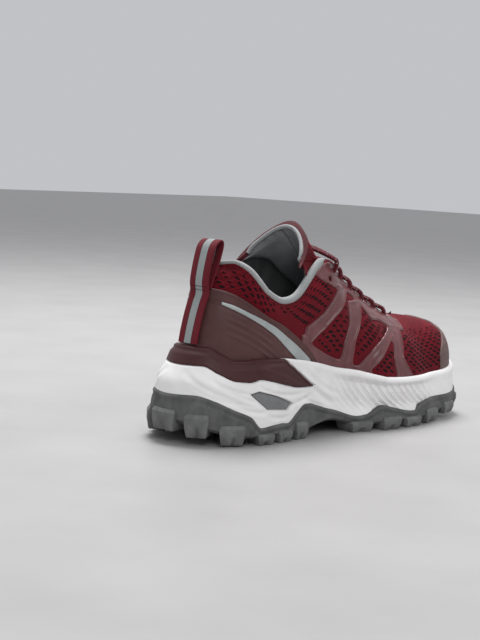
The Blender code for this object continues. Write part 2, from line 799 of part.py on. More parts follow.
# Top edge of the heel counter and the two edges of its reflective stripe, over the collar height
COUNTER = Table("share top stripe_top stripe_low", (
    (0.000, 0.870, 0.810, 0.800),
    (0.066, 0.862, 0.805, 0.790),
    (0.123, 0.838, 0.795, 0.762),
    (0.184, 0.778, 0.745, 0.710),
    (0.240, 0.705, 0.688, 0.640),
    (0.285, 0.635, 0.605, 0.530),
    (0.325, 0.550, 0.525, 0.440),
    (0.350, 0.490, 0.460, 0.400),
    (0.378, 0.430, 0.400, 0.390),
))
COUNTER_END = 0.360
STRIPE_FROM, STRIPE_TO = 0.083, 0.338

# Upper edge of the toe cap, by share of the way round, over the collar height
TOE_CAP_EDGE = Table("share height", (
    (0.763, 0.330),
    (0.808, 0.390),
    (0.858, 0.458),
    (0.921, 0.540),
    (1.000, 0.590),
))
TOE_CAP_FROM = 0.768


def band(last, places, low_edge, high_edge):
    """The outline of a band along these ribs between two edges, which are heights or stay at the rim."""
    lower, upper = [], []
    for k in places:
        share = last.share_of(k)
        low = max(last.row_at(k, low_edge(share)), RIM_ROW) if low_edge else RIM_ROW
        lower.append((k, low))
        upper.append((k, max(last.row_at(k, high_edge(share)), low + 0.12)))
    return lower + upper[::-1]


def counter_edge(name):
    return lambda share: COUNTER.at(name, share) * COLLAR_HEIGHT


def make_heel_counter(last, finish, group, cutters):
    end = last.place_of(LATERAL, COUNTER_END)
    places = [-end] + list(range(-int(end), int(end) + 1)) + [end]
    flat = slab(band(last, places, None, counter_edge("top")), "counter_flat", cutters)
    return wrap(flat, last, "heel_counter", OVERLAY_LIFT, OVERLAY, finish, group)


def make_stripes(last, finish, group, cutters):
    for name, side in SIDES.items():
        first, end = last.place_of(LATERAL, STRIPE_FROM), last.place_of(LATERAL, STRIPE_TO)
        places = [first] + list(range(math.ceil(first + 0.2), int(end - 0.2) + 1)) + [end]
        places = [k if side == LATERAL else -k for k in places]
        outline = band(last, places, counter_edge("stripe_low"), counter_edge("stripe_top"))
        flat = slab(outline, f"stripe_flat_{name}", cutters)
        wrap(flat, last, f"reflective_stripe_{name}", OVERLAY_LIFT + OVERLAY + 1.4 * GAP, STRIPE, finish, group)


def make_toe_cap(last, finish, group, cutters):
    first = last.place_of(LATERAL, TOE_CAP_FROM)
    places = [first] + list(range(math.ceil(first + 0.2), last.count - math.ceil(first + 0.2) + 1))
    places.append(last.count - first)
    edge = lambda share: TOE_CAP_EDGE.at("height", share) * COLLAR_HEIGHT
    flat = slab(band(last, places, None, edge), "toe_cap_flat", cutters)
    return wrap(flat, last, "toe_cap", OVERLAY_LIFT, TOE_CAP, finish, group)


# The cage's eyestay: share, and its outer edge over the collar height. It ends short of the throat.
EYESTAY = Table("share height", (
    (0.372, 0.930),
    (0.400, 0.880),
    (0.440, 0.860),
    (0.490, 0.840),
    (0.530, 0.770),
    (0.555, 0.690),
    (0.600, 0.690),
    (0.650, 0.640),
    (0.690, 0.590),
    (0.706, 0.600),
))
EYESTAY_TOP_ROW = 7.88
# The cage's legs: share and height over the collar height down each, with half widths in share
CAGE_LEGS = (
    ((0.483, 0.880, 0.015), (0.431, 0.735, 0.018), (0.384, 0.654, 0.021), (0.354, 0.580, 0.020),
     (0.364, 0.515, 0.012)),
    ((0.524, 0.830, 0.009), (0.501, 0.671, 0.013), (0.469, 0.542, 0.018), (0.445, 0.0, 0.022)),
    ((0.664, 0.620, 0.014), (0.590, 0.483, 0.020), (0.506, 0.0, 0.016)),
    ((0.676, 0.620, 0.014), (0.652, 0.450, 0.020), (0.628, 0.0, 0.028)),
)
EYELETS = ((0.452, 7.35), (0.490, 7.30), (0.530, 7.30), (0.572, 7.30), (0.616, 7.25), (0.658, 7.20))
SPARE_EYELET = (0.424, 6.90)


def eyestay_outline(last):
    shares = [row[0] for row in EYESTAY.rows]
    lower = []
    for share in shares:
        k = last.place_of(LATERAL, share)
        lower.append((k, last.row_at(k, EYESTAY.at("height", share) * COLLAR_HEIGHT)))
    upper = [(k, EYESTAY_TOP_ROW) for k, _ in lower]
    return lower + upper[::-1]


def leg_outline(last, rows):
    near, far = [], []
    for share, height, half in rows:
        for side_points, at in ((near, share - half), (far, share + half)):
            k = last.place_of(LATERAL, at)
            side_points.append((k, max(last.row_at(k, height * COLLAR_HEIGHT), RIM_ROW)))
    return near + far[::-1]


def make_cages(last, finish, group, cutters):
    outlines = [eyestay_outline(last)] + [leg_outline(last, rows) for rows in CAGE_LEGS]
    for name, side in SIDES.items():
        slabs = [
            slab([(k if side == LATERAL else -k, row) for k, row in outline], f"cage_flat_{name}_{i}", cutters)
            for i, outline in enumerate(outlines)
        ]
        first = slabs[0]
        for other in slabs[1:]:
            boolean(first, other, "UNION")
        bm = bmesh.new()
        for share, row in EYELETS + (SPARE_EYELET,):
            k = last.place_of(side, share)
            wide = (last.at(k + 0.5, row, 0) - last.at(k - 0.5, row, 0)).length
            tall = (last.at(k, row + 0.5, 0) - last.at(k, row - 0.5, 0)).length
            size = Matrix.Diagonal((FLAT * EYELET_RADIUS / wide, FLAT * EYELET_RADIUS / tall, 1, 1))
            spot = Matrix.Translation((k * FLAT, row * FLAT, FLAT_SLAB / 2)) @ size
            bmesh.ops.create_cone(
                bm, cap_ends=True, segments=6, radius1=1, radius2=1, depth=3 * FLAT_SLAB, matrix=spot
            )
        punch = helper(finish_mesh(bm, f"cage_punch_{name}", None, cutters))
        boolean(first, punch, "DIFFERENCE")
        bpy.context.view_layer.update()
        wrap(first, last, f"cage_{name}", OVERLAY_LIFT, OVERLAY, finish, group)


BINDING_END = 0.425


def make_collar_binding(last, finish, group):
    """A soft roll on the collar's edge, from one top eyelet round the heel to the other."""
    sides = 6
    end = last.place_of(LATERAL, BINDING_END)
    places = [-end] + list(range(-int(end), int(end) + 1)) + [end]
    sections = []
    for k in places:
        edge = last.at(k, UPPER_ROWS, -UPPER_WALL / 2)
        up = (edge - last.at(k, UPPER_ROWS - 0.4, -UPPER_WALL / 2)).normalized()
        ahead = last.at(k + 0.1, UPPER_ROWS, 0) - last.at(k - 0.1, UPPER_ROWS, 0)
        out = ahead.cross(up).normalized()
        centre = edge + up * (BINDING_RADIUS + 3 * GAP)
        angles = (2 * math.pi * i / sides for i in range(sides))
        sections.append([centre + BINDING_RADIUS * (math.cos(a) * out + math.sin(a) * up) for a in angles])
    bm = skin(sections, closed_sections=True, caps=True)
    return finish_mesh(bm, "collar_binding", finish, group)


# The tongue, from its root under the vamp to its free top: where its outer face's middle is over the
# shoe's length and the instep height, its half width and curl over the ball width, and its thickness
TONGUE = Table("row along height half curl thick", (
    (0, 0.765, 0.575, 0.120, 0.020, 0.30),
    (1, 0.715, 0.625, 0.150, 0.035, 0.34),
    (2, 0.650, 0.705, 0.185, 0.055, 0.40),
    (3, 0.580, 0.800, 0.195, 0.075, 0.50),
    (4, 0.510, 0.920, 0.198, 0.090, 0.60),
    (5, 0.455, 1.030, 0.206, 0.112, 0.80),
    (6, 0.432, 1.112, 0.226, 0.185, 1.00),
    (7, 0.412, 1.188, 0.270, 0.320, 1.00),
    (8, 0.394, 1.242, 0.300, 0.350, 0.75),
))
TONGUE_TRIM = 9 * MM
TONGUE_ARCH = 0.86


def tongue_bow(key, a):
    """How far round its curl the tongue is at this share of its half width, and how steep it is there."""
    arch = math.sqrt(1 - TONGUE_ARCH * a * a)
    depth = 1 - math.sqrt(1 - TONGUE_ARCH)
    free = min(max((key - 5) / 1.5, 0.0), 1.0)
    bow = a * a + free * ((1 - arch) / depth - a * a)
    return bow, 2 * a + free * (TONGUE_ARCH * a / (arch * depth) - 2 * a)


def tongue_section(key, across):
    """The tongue's outer and inner face in one row, curled about its middle line."""
    read = lambda name, k: TONGUE.at(name, k)
    middle = Vector((read("along", key) * SHOE_LENGTH, 0, read("height", key) * INSTEP_HEIGHT))
    ahead, behind = min(key + 0.2, 8), max(key - 0.2, 0)
    tangent = Vector((
        (read("along", ahead) - read("along", behind)) * SHOE_LENGTH, 0,
        (read("height", ahead) - read("height", behind)) * INSTEP_HEIGHT,
    )).normalized()
    outward = Vector((tangent.z, 0, -tangent.x))
    half = read("half", key) * BALL_WIDTH
    curl = read("curl", key) * BALL_WIDTH
    thick = read("thick", key) * TONGUE_THICKNESS
    trim = TONGUE_TRIM * max(0.0, (key - 4) / 4) ** 2
    top, under = [], []
    for k in range(across + 1):
        a = 2 * k / across - 1
        bow, slope = tongue_bow(key, a)
        spot = middle + Vector((0, a * half, 0)) - outward * curl * bow - tangent * trim * a * a
        lean = Vector((0, 0.8 * slope * curl / half, 0))
        inward = (outward + lean).normalized()
        top.append(spot)
        under.append(spot - inward * thick * (1 - 0.45 * a * a))
    return top + under[::-1]


def make_tongue(finish, group):
    sections = [tongue_section(8 * i / 16, 8) for i in range(17)]
    bm = skin(sections, closed_sections=True, caps=True)
    return finish_mesh(bm, "tongue", finish, group)


def insole_section(rib):
    foot_r, foot_z = upper_profile(rib, 0.06)
    edge = foot_r - UPPER_WALL - INSOLE_CLEARANCE
    half = 0.55 * edge
    floor = lambda radius: footbed(plan_x(rib, radius)) + 2 * GAP
    points = [
        (0.0, floor(0.0)),
        (half, floor(half)),
        (edge - 0.3 * INSOLE_THICKNESS, floor(edge)),
        (edge, floor(edge) + 0.4 * INSOLE_THICKNESS),
        (edge - 0.1 * INSOLE_THICKNESS, floor(edge) + 1.3 * INSOLE_THICKNESS),
        (edge - 0.9 * INSOLE_THICKNESS, floor(edge) + 1.05 * INSOLE_THICKNESS),
        (half, floor(half) + INSOLE_THICKNESS),
        (0.0, floor(0.0) + INSOLE_THICKNESS),
    ]
    return [place(rib, radius, height) for radius, height in points[::-1]]


def make_insole(finish, group):
    ribs = ring_of_ribs(even_shares(18))
    bm = skin([insole_section(rib) for rib in ribs], loop_round=True)
    return finish_mesh(bm, "insole", finish, group)


def tongue_height(x):
    """Height of the tongue's outer face on the middle line, at this x."""
    low, high = 0.0, 8.0
    for _ in range(24):
        middle = (low + high) / 2
        if TONGUE.at("along", middle) * SHOE_LENGTH > x:
            low = middle
        else:
            high = middle
    return TONGUE.at("height", low) * INSTEP_HEIGHT


def over_edge(last, side, share, next_share, lift):
    """The spot where a strand from this eyelet towards the next one passes over the throat's edge."""
    return last.at(last.place_of(side, share + 0.2 * (next_share - share)), UPPER_ROWS - 0.05, lift)


def strand(last, side, first, second, lift):
    """Points of one strand over the tongue, from an eyelet on this side to one on the other side."""
    start = last.at(last.place_of(side, first[0]), first[1], lift)
    end = last.at(last.place_of(-side, second[0]), second[1], lift)
    near = over_edge(last, side, first[0], second[0], lift)
    far = over_edge(last, -side, second[0], first[0], lift)
    middle = (near + far) / 2
    over_tongue = tongue_height(middle.x) + LACE_CLEARANCE + 1.25 * LACE_RADIUS
    middle.z = max(over_tongue, (near.z + far.z) / 2 + 0.5 * LACE_RADIUS)
    return [start, near, middle, far, end]


def lace_route(last, start_side):
    """Points of one end of the lace, which crosses the throat from each eyelet to the next one up."""
    route, side = [], start_side
    lift = OVERLAY_LIFT + OVERLAY + LACE_CLEARANCE + LACE_RADIUS
    rows = EYELETS[::-1]
    for first, second in zip(rows, rows[1:]):
        route += strand(last, side, first, second, lift)[:-1]
        side = -side
    return route + [last.at(last.place_of(side, rows[-1][0]), rows[-1][1], lift)]


def cord(points, radius, sides=6):
    """A round cord along these points, its sections turned as little as they can be."""
    sections = []
    across = Vector((0, 0, 1))
    for i, spot in enumerate(points):
        ahead = (points[min(i + 1, len(points) - 1)] - points[max(i - 1, 0)]).normalized()
        across = (across - ahead * across.dot(ahead)).normalized()
        other = ahead.cross(across)
        angles = (2 * math.pi * k / sides for k in range(sides))
        sections.append([spot + radius * (math.cos(a) * across + math.sin(a) * other) for a in angles])
    return skin(sections, closed_sections=True, caps=True)


def make_laces(last, finish, group, cutters):
    laces = finish_mesh(cord(lace_route(last, LATERAL), LACE_RADIUS), "laces", finish, group)
    lift = OVERLAY_LIFT + OVERLAY + LACE_CLEARANCE + LACE_RADIUS
    bar = strand(last, LATERAL, EYELETS[0], EYELETS[0], lift)
    for name, route, size in (("lace_back", lace_route(last, MEDIAL), 0.98), ("lace_bar", bar, 0.97)):
        other = finish_mesh(cord(route, LACE_RADIUS * size), name, None, cutters)
        boolean(laces, helper(other), "UNION")
    return laces


# The pull tab in the shoe's middle plane: the strap up the counter, as shares of the way from just over
# the heel clip to the loop's root, and the finger loop's middle line as heights over the collar height
# with how far it stands off the heel's back line
TAB_FOOT = 1.3 * MM
TAB_ROOT = 0.79
TAB_STRAP = (0.0, 0.23, 0.49, 0.745, 1.0)
TAB_LOOP = (
    (0.840, 3.4 * MM), (0.900, 7.4 * MM), (0.970, 10.6 * MM), (1.040, 13.2 * MM), (1.100, 14.6 * MM),
    (1.132, 13.4 * MM), (1.142, 10.6 * MM), (1.118, 7.8 * MM), (1.060, 6.0 * MM), (1.000, 4.8 * MM),
    (0.930, 3.8 * MM), (0.870, 3.0 * MM),
)


def heel_back(last, height):
    """How far along the upper's outer face is at the heel's back; above the collar its line runs on."""
    top, lower = last.at(0.0, UPPER_ROWS, 0.0), last.at(0.0, UPPER_ROWS - 2, 0.0)
    if height > top.z:
        return top.x + (height - top.z) * (top.x - lower.x) / (top.z - lower.z)
    return last.at(0.0, last.row_at(0.0, height), 0.0).x


def make_pull_tab(last, finish, group):
    """Webbing sewn up the back of the counter and folded into a finger loop above it."""
    clear = OVERLAY_LIFT + OVERLAY + 1.9 * GAP
    outer, inner = [], []
    foot = side_line("wing_high", rib_at(LATERAL, 0.0)) + TAB_FOOT
    for share in TAB_STRAP:
        row = last.row_at(0.0, foot + share * (TAB_ROOT * COLLAR_HEIGHT - foot))
        for line, lift in ((inner, clear), (outer, clear + 1.3 * TAB_WEB)):
            spot = last.at(0.0, row, lift)
            line.append(Vector((spot.x, spot.z)))
    loop = []
    for share, stand_off in TAB_LOOP:
        height = share * COLLAR_HEIGHT
        loop.append(Vector((heel_back(last, height) - stand_off, height)))
    big, small = [], []
    for i, spot in enumerate(loop):
        ahead = loop[min(i + 1, len(loop) - 1)] - loop[max(i - 1, 0)]
        normal = Vector((-ahead.y, ahead.x)).normalized()
        big.append(spot + normal * TAB_WEB / 2)
        small.append(spot - normal * TAB_WEB / 2)
    bm = bmesh.new()
    half = TAB_WIDTH / 2
    sides = {-half: [], half: []}
    for points in (outer + big + inner[::-1], small):
        near = [bm.verts.new((p.x, -half, p.y)) for p in points]
        far = [bm.verts.new((p.x, half, p.y)) for p in points]
        for i in range(len(points)):
            k = (i + 1) % len(points)
            bm.faces.new((near[i], near[k], far[k], far[i]))
            sides[-half].append(bm.edges.get((near[i], near[k])))
            sides[half].append(bm.edges.get((far[i], far[k])))
    for edges in sides.values():
        bmesh.ops.triangle_fill(bm, edges=edges, use_beauty=True)
    return finish_mesh(bm, "pull_tab", finish, group)


def centre_on_origin():
    """Moves every mesh back by half the length, so that the origin is under the shoe's middle."""
    for obj in bpy.data.objects:
        if obj.type == "MESH":
            obj.data.transform(Matrix.Translation((-SHOE_LENGTH / 2, 0, 0)))


def build():
    remove_everything()
    shoe = collection("trail_running_shoe")
    cutters = collection("cutters")
    foam = material("white_foam", (0.80, 0.79, 0.78), 0.55)
    rubber = material("grey_rubber", (0.09, 0.09, 0.09), 0.75)
    mesh_cloth = material("red_mesh", (0.22, 0.012, 0.025), 0.85)
    film = material("mauve_film", (0.11, 0.045, 0.048), 0.45)
    clip = material("maroon_clip", (0.075, 0.028, 0.030), 0.5)
    reflective = material("grey_reflective", (0.45, 0.47, 0.47), 0.4)
    lining = material("grey_lining", (0.42, 0.44, 0.44), 0.85)
    webbing = material("red_webbing", (0.17, 0.010, 0.022), 0.8)

    last = LastSurface()
    make_outsole(rubber, shoe, cutters)
    make_midsole(foam, shoe, cutters)
    make_window_inserts(rubber, shoe)
    make_heel_clip(clip, shoe)
    make_upper(mesh_cloth, shoe, cutters, last)
    make_heel_counter(last, film, shoe, cutters)
    make_stripes(last, reflective, shoe, cutters)
    make_toe_cap(last, film, shoe, cutters)
    make_cages(last, film, shoe, cutters)
    make_collar_binding(last, lining, shoe)
    make_tongue(mesh_cloth, shoe)
    make_insole(lining, shoe)
    make_laces(last, webbing, shoe, cutters)
    make_pull_tab(last, webbing, shoe)
    centre_on_origin()


build()
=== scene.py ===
"""The finish of the trail running shoe: foam, rubber, mesh, film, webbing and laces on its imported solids."""

import math

import bmesh
import bpy
import numpy as np
from mathutils import Matrix, Vector


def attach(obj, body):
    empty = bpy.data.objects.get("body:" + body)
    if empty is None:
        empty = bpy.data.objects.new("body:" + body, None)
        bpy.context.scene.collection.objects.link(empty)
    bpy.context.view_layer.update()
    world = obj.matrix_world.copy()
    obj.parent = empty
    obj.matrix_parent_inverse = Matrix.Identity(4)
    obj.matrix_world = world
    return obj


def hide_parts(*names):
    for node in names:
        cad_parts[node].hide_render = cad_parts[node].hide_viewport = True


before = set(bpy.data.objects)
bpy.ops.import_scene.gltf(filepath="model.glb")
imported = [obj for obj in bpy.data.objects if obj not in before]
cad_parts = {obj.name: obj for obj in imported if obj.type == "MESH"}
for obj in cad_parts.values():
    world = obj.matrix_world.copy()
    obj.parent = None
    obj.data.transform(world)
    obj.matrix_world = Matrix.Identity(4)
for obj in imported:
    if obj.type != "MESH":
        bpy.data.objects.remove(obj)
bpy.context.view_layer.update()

MM = 0.001

# Sizes of the sole
SHOE_LENGTH = 300 * MM
BALL_WIDTH = 110 * MM
HEEL_STACK = 34 * MM
LUG_DEPTH = 5 * MM
LUG_WIDTH = 13 * MM
PLATE_THICKNESS = 3 * MM
OUTSOLE_WALL = 5 * MM
HEEL_BEVEL = 11 * MM
TOE_SPRING = 15 * MM
ARCH_LIFT = 5 * MM
SCOOP_DEPTH = 3.8 * MM
FLUTE_DEPTH = 2.6 * MM
WINDOW_DEPTH = 3.5 * MM
CLIP_THICKNESS = 2.4 * MM
HEEL_CENTRE = 60 * MM
TOE_CENTRE = 245 * MM
TOE_SWING = 3 * MM
HEEL_SQUARENESS = 2.1
TOE_SQUARENESS = 2.15

# Sizes of the upper
COLLAR_HEIGHT = 120 * MM
INSTEP_HEIGHT = 122 * MM
UPPER_WALL = 2.4 * MM
RIDGE_SLOPE = -0.05
FILM = 0.9 * MM
TOE_CAP = 1.5 * MM
INSOLE_THICKNESS = 4 * MM
INSOLE_CLEARANCE = 1.8 * MM
TONGUE_THICKNESS = 7 * MM
TONGUE_TRIM = 9 * MM
TONGUE_ARCH = 0.86
TAB_WIDTH = 18 * MM
TAB_WEB = 1.6 * MM
LACE_WIDTH = 4.8 * MM
LACE_HEIGHT = 3.2 * MM
EYELET_RADIUS = 2.0 * MM
GAP = 0.4 * MM

# Places on the sole, as shares of its length
HEEL_CONTACT = 0.14
TOE_CONTACT = 0.74
ARCH_FROM, ARCH_TO = 0.30, 0.52

# Places round the shoe in share, from 0 at the heel's back to 1 at the toe's tip on either side
RIB_STEP = 354 * MM  # what one share measures along the middle of the shoe
HEEL_TURN = 0.24
TOE_TURN = 0.763
WING_START = 0.268
CLIP_END = 0.358
FLUTES_FROM, FLUTES_FULL, FLUTES_FADE, FLUTES_TO = 0.40, 0.50, 0.66, 0.765
FLUTE_STEP = 0.0215
FLUTE_SWEEP = 0.105
CAGE_FROM, CAGE_TO = 0.374, 0.706
BASE_BAND_FROM = 0.332
COUNTER_END = 0.386
STRIPE_FROM, STRIPE_TO = 0.083, 0.360
TOE_CAP_FROM = 0.792
BINDING_END = 0.432

LATERAL = -1
MEDIAL = 1
SIDES = {"lateral": LATERAL, "medial": MEDIAL}


class Table:
    """Rows of listed sizes, read as smooth curves without overshoot."""

    def __init__(self, columns, rows):
        values = np.array(rows, float)
        self.keys = values[:, 0]
        self.columns = dict(zip(columns.split(), values.T))

    def at(self, name, key):
        keys, values = self.keys, self.columns[name]
        steps = np.diff(values) / np.diff(keys)
        turning = steps[:-1] * steps[1:] <= 0
        total = np.where(turning, 1.0, steps[:-1] + steps[1:])
        slopes = np.zeros(len(keys))
        slopes[1:-1] = np.where(turning, 0.0, 2 * steps[:-1] * steps[1:] / total)
        key = np.clip(key, keys[0], keys[-1])
        i = np.clip(np.searchsorted(keys, key, "right") - 1, 0, len(keys) - 2)
        span = keys[i + 1] - keys[i]
        t = (key - keys[i]) / span
        return (
            values[i] * (2 * t**3 - 3 * t**2 + 1) + slopes[i] * span * (t**3 - 2 * t**2 + t)
            + values[i + 1] * (3 * t**2 - 2 * t**3) + slopes[i + 1] * span * (t**3 - t**2)
        )


# Half widths of the sole over the ball width, along the length between the two fans
SOLE_OUTLINE = Table("along lateral medial", (
    (0.20, 0.412, 0.378),
    (0.30, 0.396, 0.356),
    (0.40, 0.392, 0.342),
    (0.50, 0.437, 0.362),
    (0.60, 0.495, 0.427),
    (0.66, 0.500, 0.470),
    (0.74, 0.486, 0.500),
    (0.817, 0.440, 0.478),
))

# Height of the footbed over the heel stack, along the length
FOOTBED = Table("along height", (
    (0.00, 1.00),
    (0.30, 0.97),
    (0.50, 0.85),
    (0.70, 0.76),
    (0.85, 0.80),
    (1.00, 1.06),
))

# The upper's sections, over the ball width and the collar height, with lean in degrees
UPPER_SECTIONS = Table("share inset swell shoulder reach height lean handle", (
    (0.00, 0.182, 0.000, 0.32, 0.170, 1.005, 30, 0.40),
    (0.12, 0.148, 0.006, 0.32, 0.186, 1.020, 20, 0.36),
    (0.18, 0.112, 0.014, 0.32, 0.246, 0.985, 12, 0.34),
    (0.24, 0.090, 0.022, 0.32, 0.312, 0.860, 8, 0.34),
    (0.285, 0.078, 0.026, 0.32, 0.325, 0.800, 8, 0.34),
    (0.32, 0.070, 0.026, 0.32, 0.325, 0.818, 10, 0.34),
    (0.353, 0.063, 0.024, 0.32, 0.315, 0.895, 15, 0.34),
    (0.387, 0.060, 0.020, 0.32, 0.295, 0.985, 20, 0.34),
    (0.424, 0.058, 0.018, 0.32, 0.262, 1.040, 27, 0.34),
    (0.452, 0.056, 0.018, 0.32, 0.225, 1.030, 36, 0.35),
    (0.494, 0.054, 0.018, 0.32, 0.160, 0.955, 50, 0.36),
    (0.565, 0.050, 0.016, 0.34, 0.150, 0.825, 60, 0.38),
    (0.636, 0.050, 0.016, 0.36, 0.140, 0.725, 68, 0.42),
    (0.678, 0.052, 0.016, 0.38, 0.125, 0.680, 76, 0.48),
    (0.703, 0.052, 0.016, 0.40, 0.080, 0.664, 84, 0.56),
    (0.724, 0.052, 0.016, 0.42, 0.000, 0.658, 90, 0.68),
    (0.763, 0.054, 0.016, 0.48, 0.000, 0.650, 90, 0.80),
    (0.880, 0.056, 0.016, 0.58, 0.000, 0.650, 90, 0.96),
    (1.000, 0.058, 0.016, 0.60, 0.000, 0.650, 90, 0.98),
))

# Edges on the sole's side over the heel stack, from heel to toe
SIDE_LINES = Table("share foxing wing_low wing_high rim lip", (
    (0.000, 0.98, 1.55, 1.92, 1.92, 0.030),
    (0.060, 1.00, 1.56, 1.91, 1.91, 0.030),
    (0.097, 0.90, 1.42, 1.80, 1.80, 0.030),
    (0.138, 0.72, 1.28, 1.68, 1.68, 0.034),
    (0.175, 0.58, 1.26, 1.69, 1.69, 0.038),
    (0.205, 0.34, 1.31, 1.72, 1.72, 0.042),
    (0.240, 0.37, 1.26, 1.72, 1.72, 0.046),
    (0.268, 0.39, 1.19, 1.71, 1.71, 0.050),
    (0.285, 0.37, 1.15, 1.60, 1.70, 0.052),
    (0.315, 0.57, 1.09, 1.40, 1.66, 0.052),
    (0.338, 0.73, 1.08, 1.24, 1.63, 0.050),
    (0.358, 0.71, 1.08, 1.12, 1.59, 0.048),
    (0.370, 0.67, 1.08, 1.08, 1.57, 0.046),
    (0.430, 0.51, 1.00, 1.00, 1.43, 0.042),
    (0.493, 0.34, 0.90, 0.90, 1.33, 0.036),
    (0.514, 0.36, 0.90, 0.90, 1.28, 0.034),
    (0.556, 0.54, 0.90, 0.90, 1.18, 0.032),
    (0.577, 0.49, 0.90, 0.90, 1.14, 0.030),
    (0.661, 0.34, 0.90, 0.90, 1.10, 0.030),
    (0.682, 0.47, 0.90, 0.90, 1.10, 0.030),
    (0.745, 0.56, 0.90, 0.90, 1.11, 0.030),
    (0.830, 0.58, 0.92, 0.92, 1.16, 0.030),
    (0.920, 0.74, 1.02, 1.02, 1.28, 0.030),
    (1.000, 0.84, 1.10, 1.10, 1.42, 0.030),
))


class Ribs:
    """Vertical planes round the last: turn 0 is the heel's back, 1 the toe's tip by way of the lateral side."""

    def __init__(self, turn):
        turn = np.mod(np.asarray(turn, float), 2.0)
        self.share = 1 - abs(1 - turn)
        self.side = np.where(turn < 1, LATERAL, MEDIAL)
        heel = np.minimum(self.share / HEEL_TURN, 1) * math.pi / 2
        toe = np.minimum((1 - self.share) / (1 - TOE_TURN), 1) * math.pi / 2
        along = np.clip((self.share - HEEL_TURN) / (TOE_TURN - HEEL_TURN), 0, 1)
        self.x = HEEL_CENTRE + along * (TOE_CENTRE - HEEL_CENTRE)
        self.y = along * TOE_SWING
        self.dx = np.cos(toe) - np.cos(heel)
        self.dy = self.side * np.sin(heel) * np.sin(toe)

    def plan_x(self, radius):
        return self.x + self.dx * radius

    def place(self, radius, height):
        x, y, z = np.broadcast_arrays(self.x + self.dx * radius, self.y + self.dy * radius, height)
        return np.stack([x - SHOE_LENGTH / 2, y, z], axis=-1)


def turn_of(side, share):
    """The turn of a share on one side of the shoe."""
    return share if side == LATERAL else 2 - share


def smooth_step(low, high, value):
    """0 below low, 1 above high, and a smooth rise between them."""
    t = np.clip((value - low) / (high - low), 0, 1)
    return t * t * (3 - 2 * t)


def hump(value, centre, width):
    """A bell curve of height 1."""
    return np.exp(-(((value - centre) / width) ** 2))


def superellipse(rib, half_length, half_width, squareness):
    """Radius of a squared oval in each rib's direction."""
    return (
        (abs(rib.dx) / half_length) ** squareness + (abs(rib.dy) / half_width) ** squareness
    ) ** (-1 / squareness)


def sole_radius(rib):
    """Radius of the sole's outline in each rib."""
    along = rib.x / SHOE_LENGTH
    share = np.where(rib.side == LATERAL, SOLE_OUTLINE.at("lateral", along), SOLE_OUTLINE.at("medial", along))
    half = share * BALL_WIDTH - rib.side * rib.y
    heel = superellipse(rib, HEEL_CENTRE, half, HEEL_SQUARENESS)
    toe = superellipse(rib, SHOE_LENGTH - TOE_CENTRE, half, TOE_SQUARENESS)
    return np.where(rib.share <= HEEL_TURN, heel, np.where(rib.share >= TOE_TURN, toe, half))


def ground_rise(x):
    """How far the tread lifts off the floor at the heel's bevel and the toe's spring."""
    heel = np.maximum(0.0, 1 - x / (HEEL_CONTACT * SHOE_LENGTH)) ** 1.6 * HEEL_BEVEL
    toe = np.maximum(0.0, (x / SHOE_LENGTH - TOE_CONTACT) / (1 - TOE_CONTACT)) ** 1.7 * TOE_SPRING
    return heel + toe


def plate_bottom(x):
    """Height of the tread plate's underside, lifted at the arch."""
    along = np.clip((x / SHOE_LENGTH - ARCH_FROM) / (ARCH_TO - ARCH_FROM), 0, 1)
    return LUG_DEPTH + ground_rise(x) + ARCH_LIFT * np.sin(math.pi * along) ** 2


def plate_top(x):
    """Height of the tread plate's top, where the foam rests."""
    return plate_bottom(x) + PLATE_THICKNESS


def footbed(x):
    """Height of the foam's top under the insole."""
    return FOOTBED.at("height", x / SHOE_LENGTH) * HEEL_STACK


def side_line(name, rib):
    """Height of an edge on the sole's side."""
    return SIDE_LINES.at(name, rib.share) * HEEL_STACK


def section(name, share, soft=0.014):
    """A size of the upper's section, softened a little along the shoe."""
    read = lambda at: UPPER_SECTIONS.at(name, at)
    return (read(share - soft) + 2 * read(share) + read(share + soft)) / 4


def upper_profile(rib, v):
    """Radius and height on the upper's outer face, from its foot at v 0 to its top edge or ridge at v 1."""
    foot_r = sole_radius(rib) - UPPER_SECTIONS.at("inset", rib.share) * BALL_WIDTH
    foot_z = footbed(rib.plan_x(foot_r)) + GAP
    top_r = section("reach", rib.share) * BALL_WIDTH
    top_z = section("height", rib.share) * COLLAR_HEIGHT
    rise = top_z - foot_z
    lean = UPPER_SECTIONS.at("lean", rib.share)
    flat = smooth_step(77.5, 83, lean)
    reach = UPPER_SECTIONS.at("handle", rib.share) * (rise * (1 - flat) + foot_r * flat)
    lean = np.radians(lean)
    tilt = np.where(rib.share > TOE_TURN, RIDGE_SLOPE * rib.dx * reach, 0.0)
    shoulder_r = foot_r + UPPER_SECTIONS.at("swell", rib.share) * BALL_WIDTH
    shoulder_z = foot_z + UPPER_SECTIONS.at("shoulder", rib.share) * rise
    handle_r, handle_z = top_r + np.sin(lean) * reach, top_z - np.cos(lean) * reach + tilt
    w = ((1 - v) ** 3, 3 * v * (1 - v) ** 2, 3 * v * v * (1 - v), v**3)
    radius = w[0] * foot_r + w[1] * shoulder_r + w[2] * handle_r + w[3] * top_r
    height = w[0] * foot_z + w[1] * shoulder_z + w[2] * handle_z + w[3] * top_z
    return radius, height


def share_up(rib, height):
    """The v at which the upper's wall reaches this height."""
    low = np.zeros(np.shape(rib.share + height))
    high = low + 1
    for _ in range(20):
        middle = (low + high) / 2
        below = upper_profile(rib, middle)[1] < height
        low, high = np.where(below, middle, low), np.where(below, high, middle)
    return (low + high) / 2


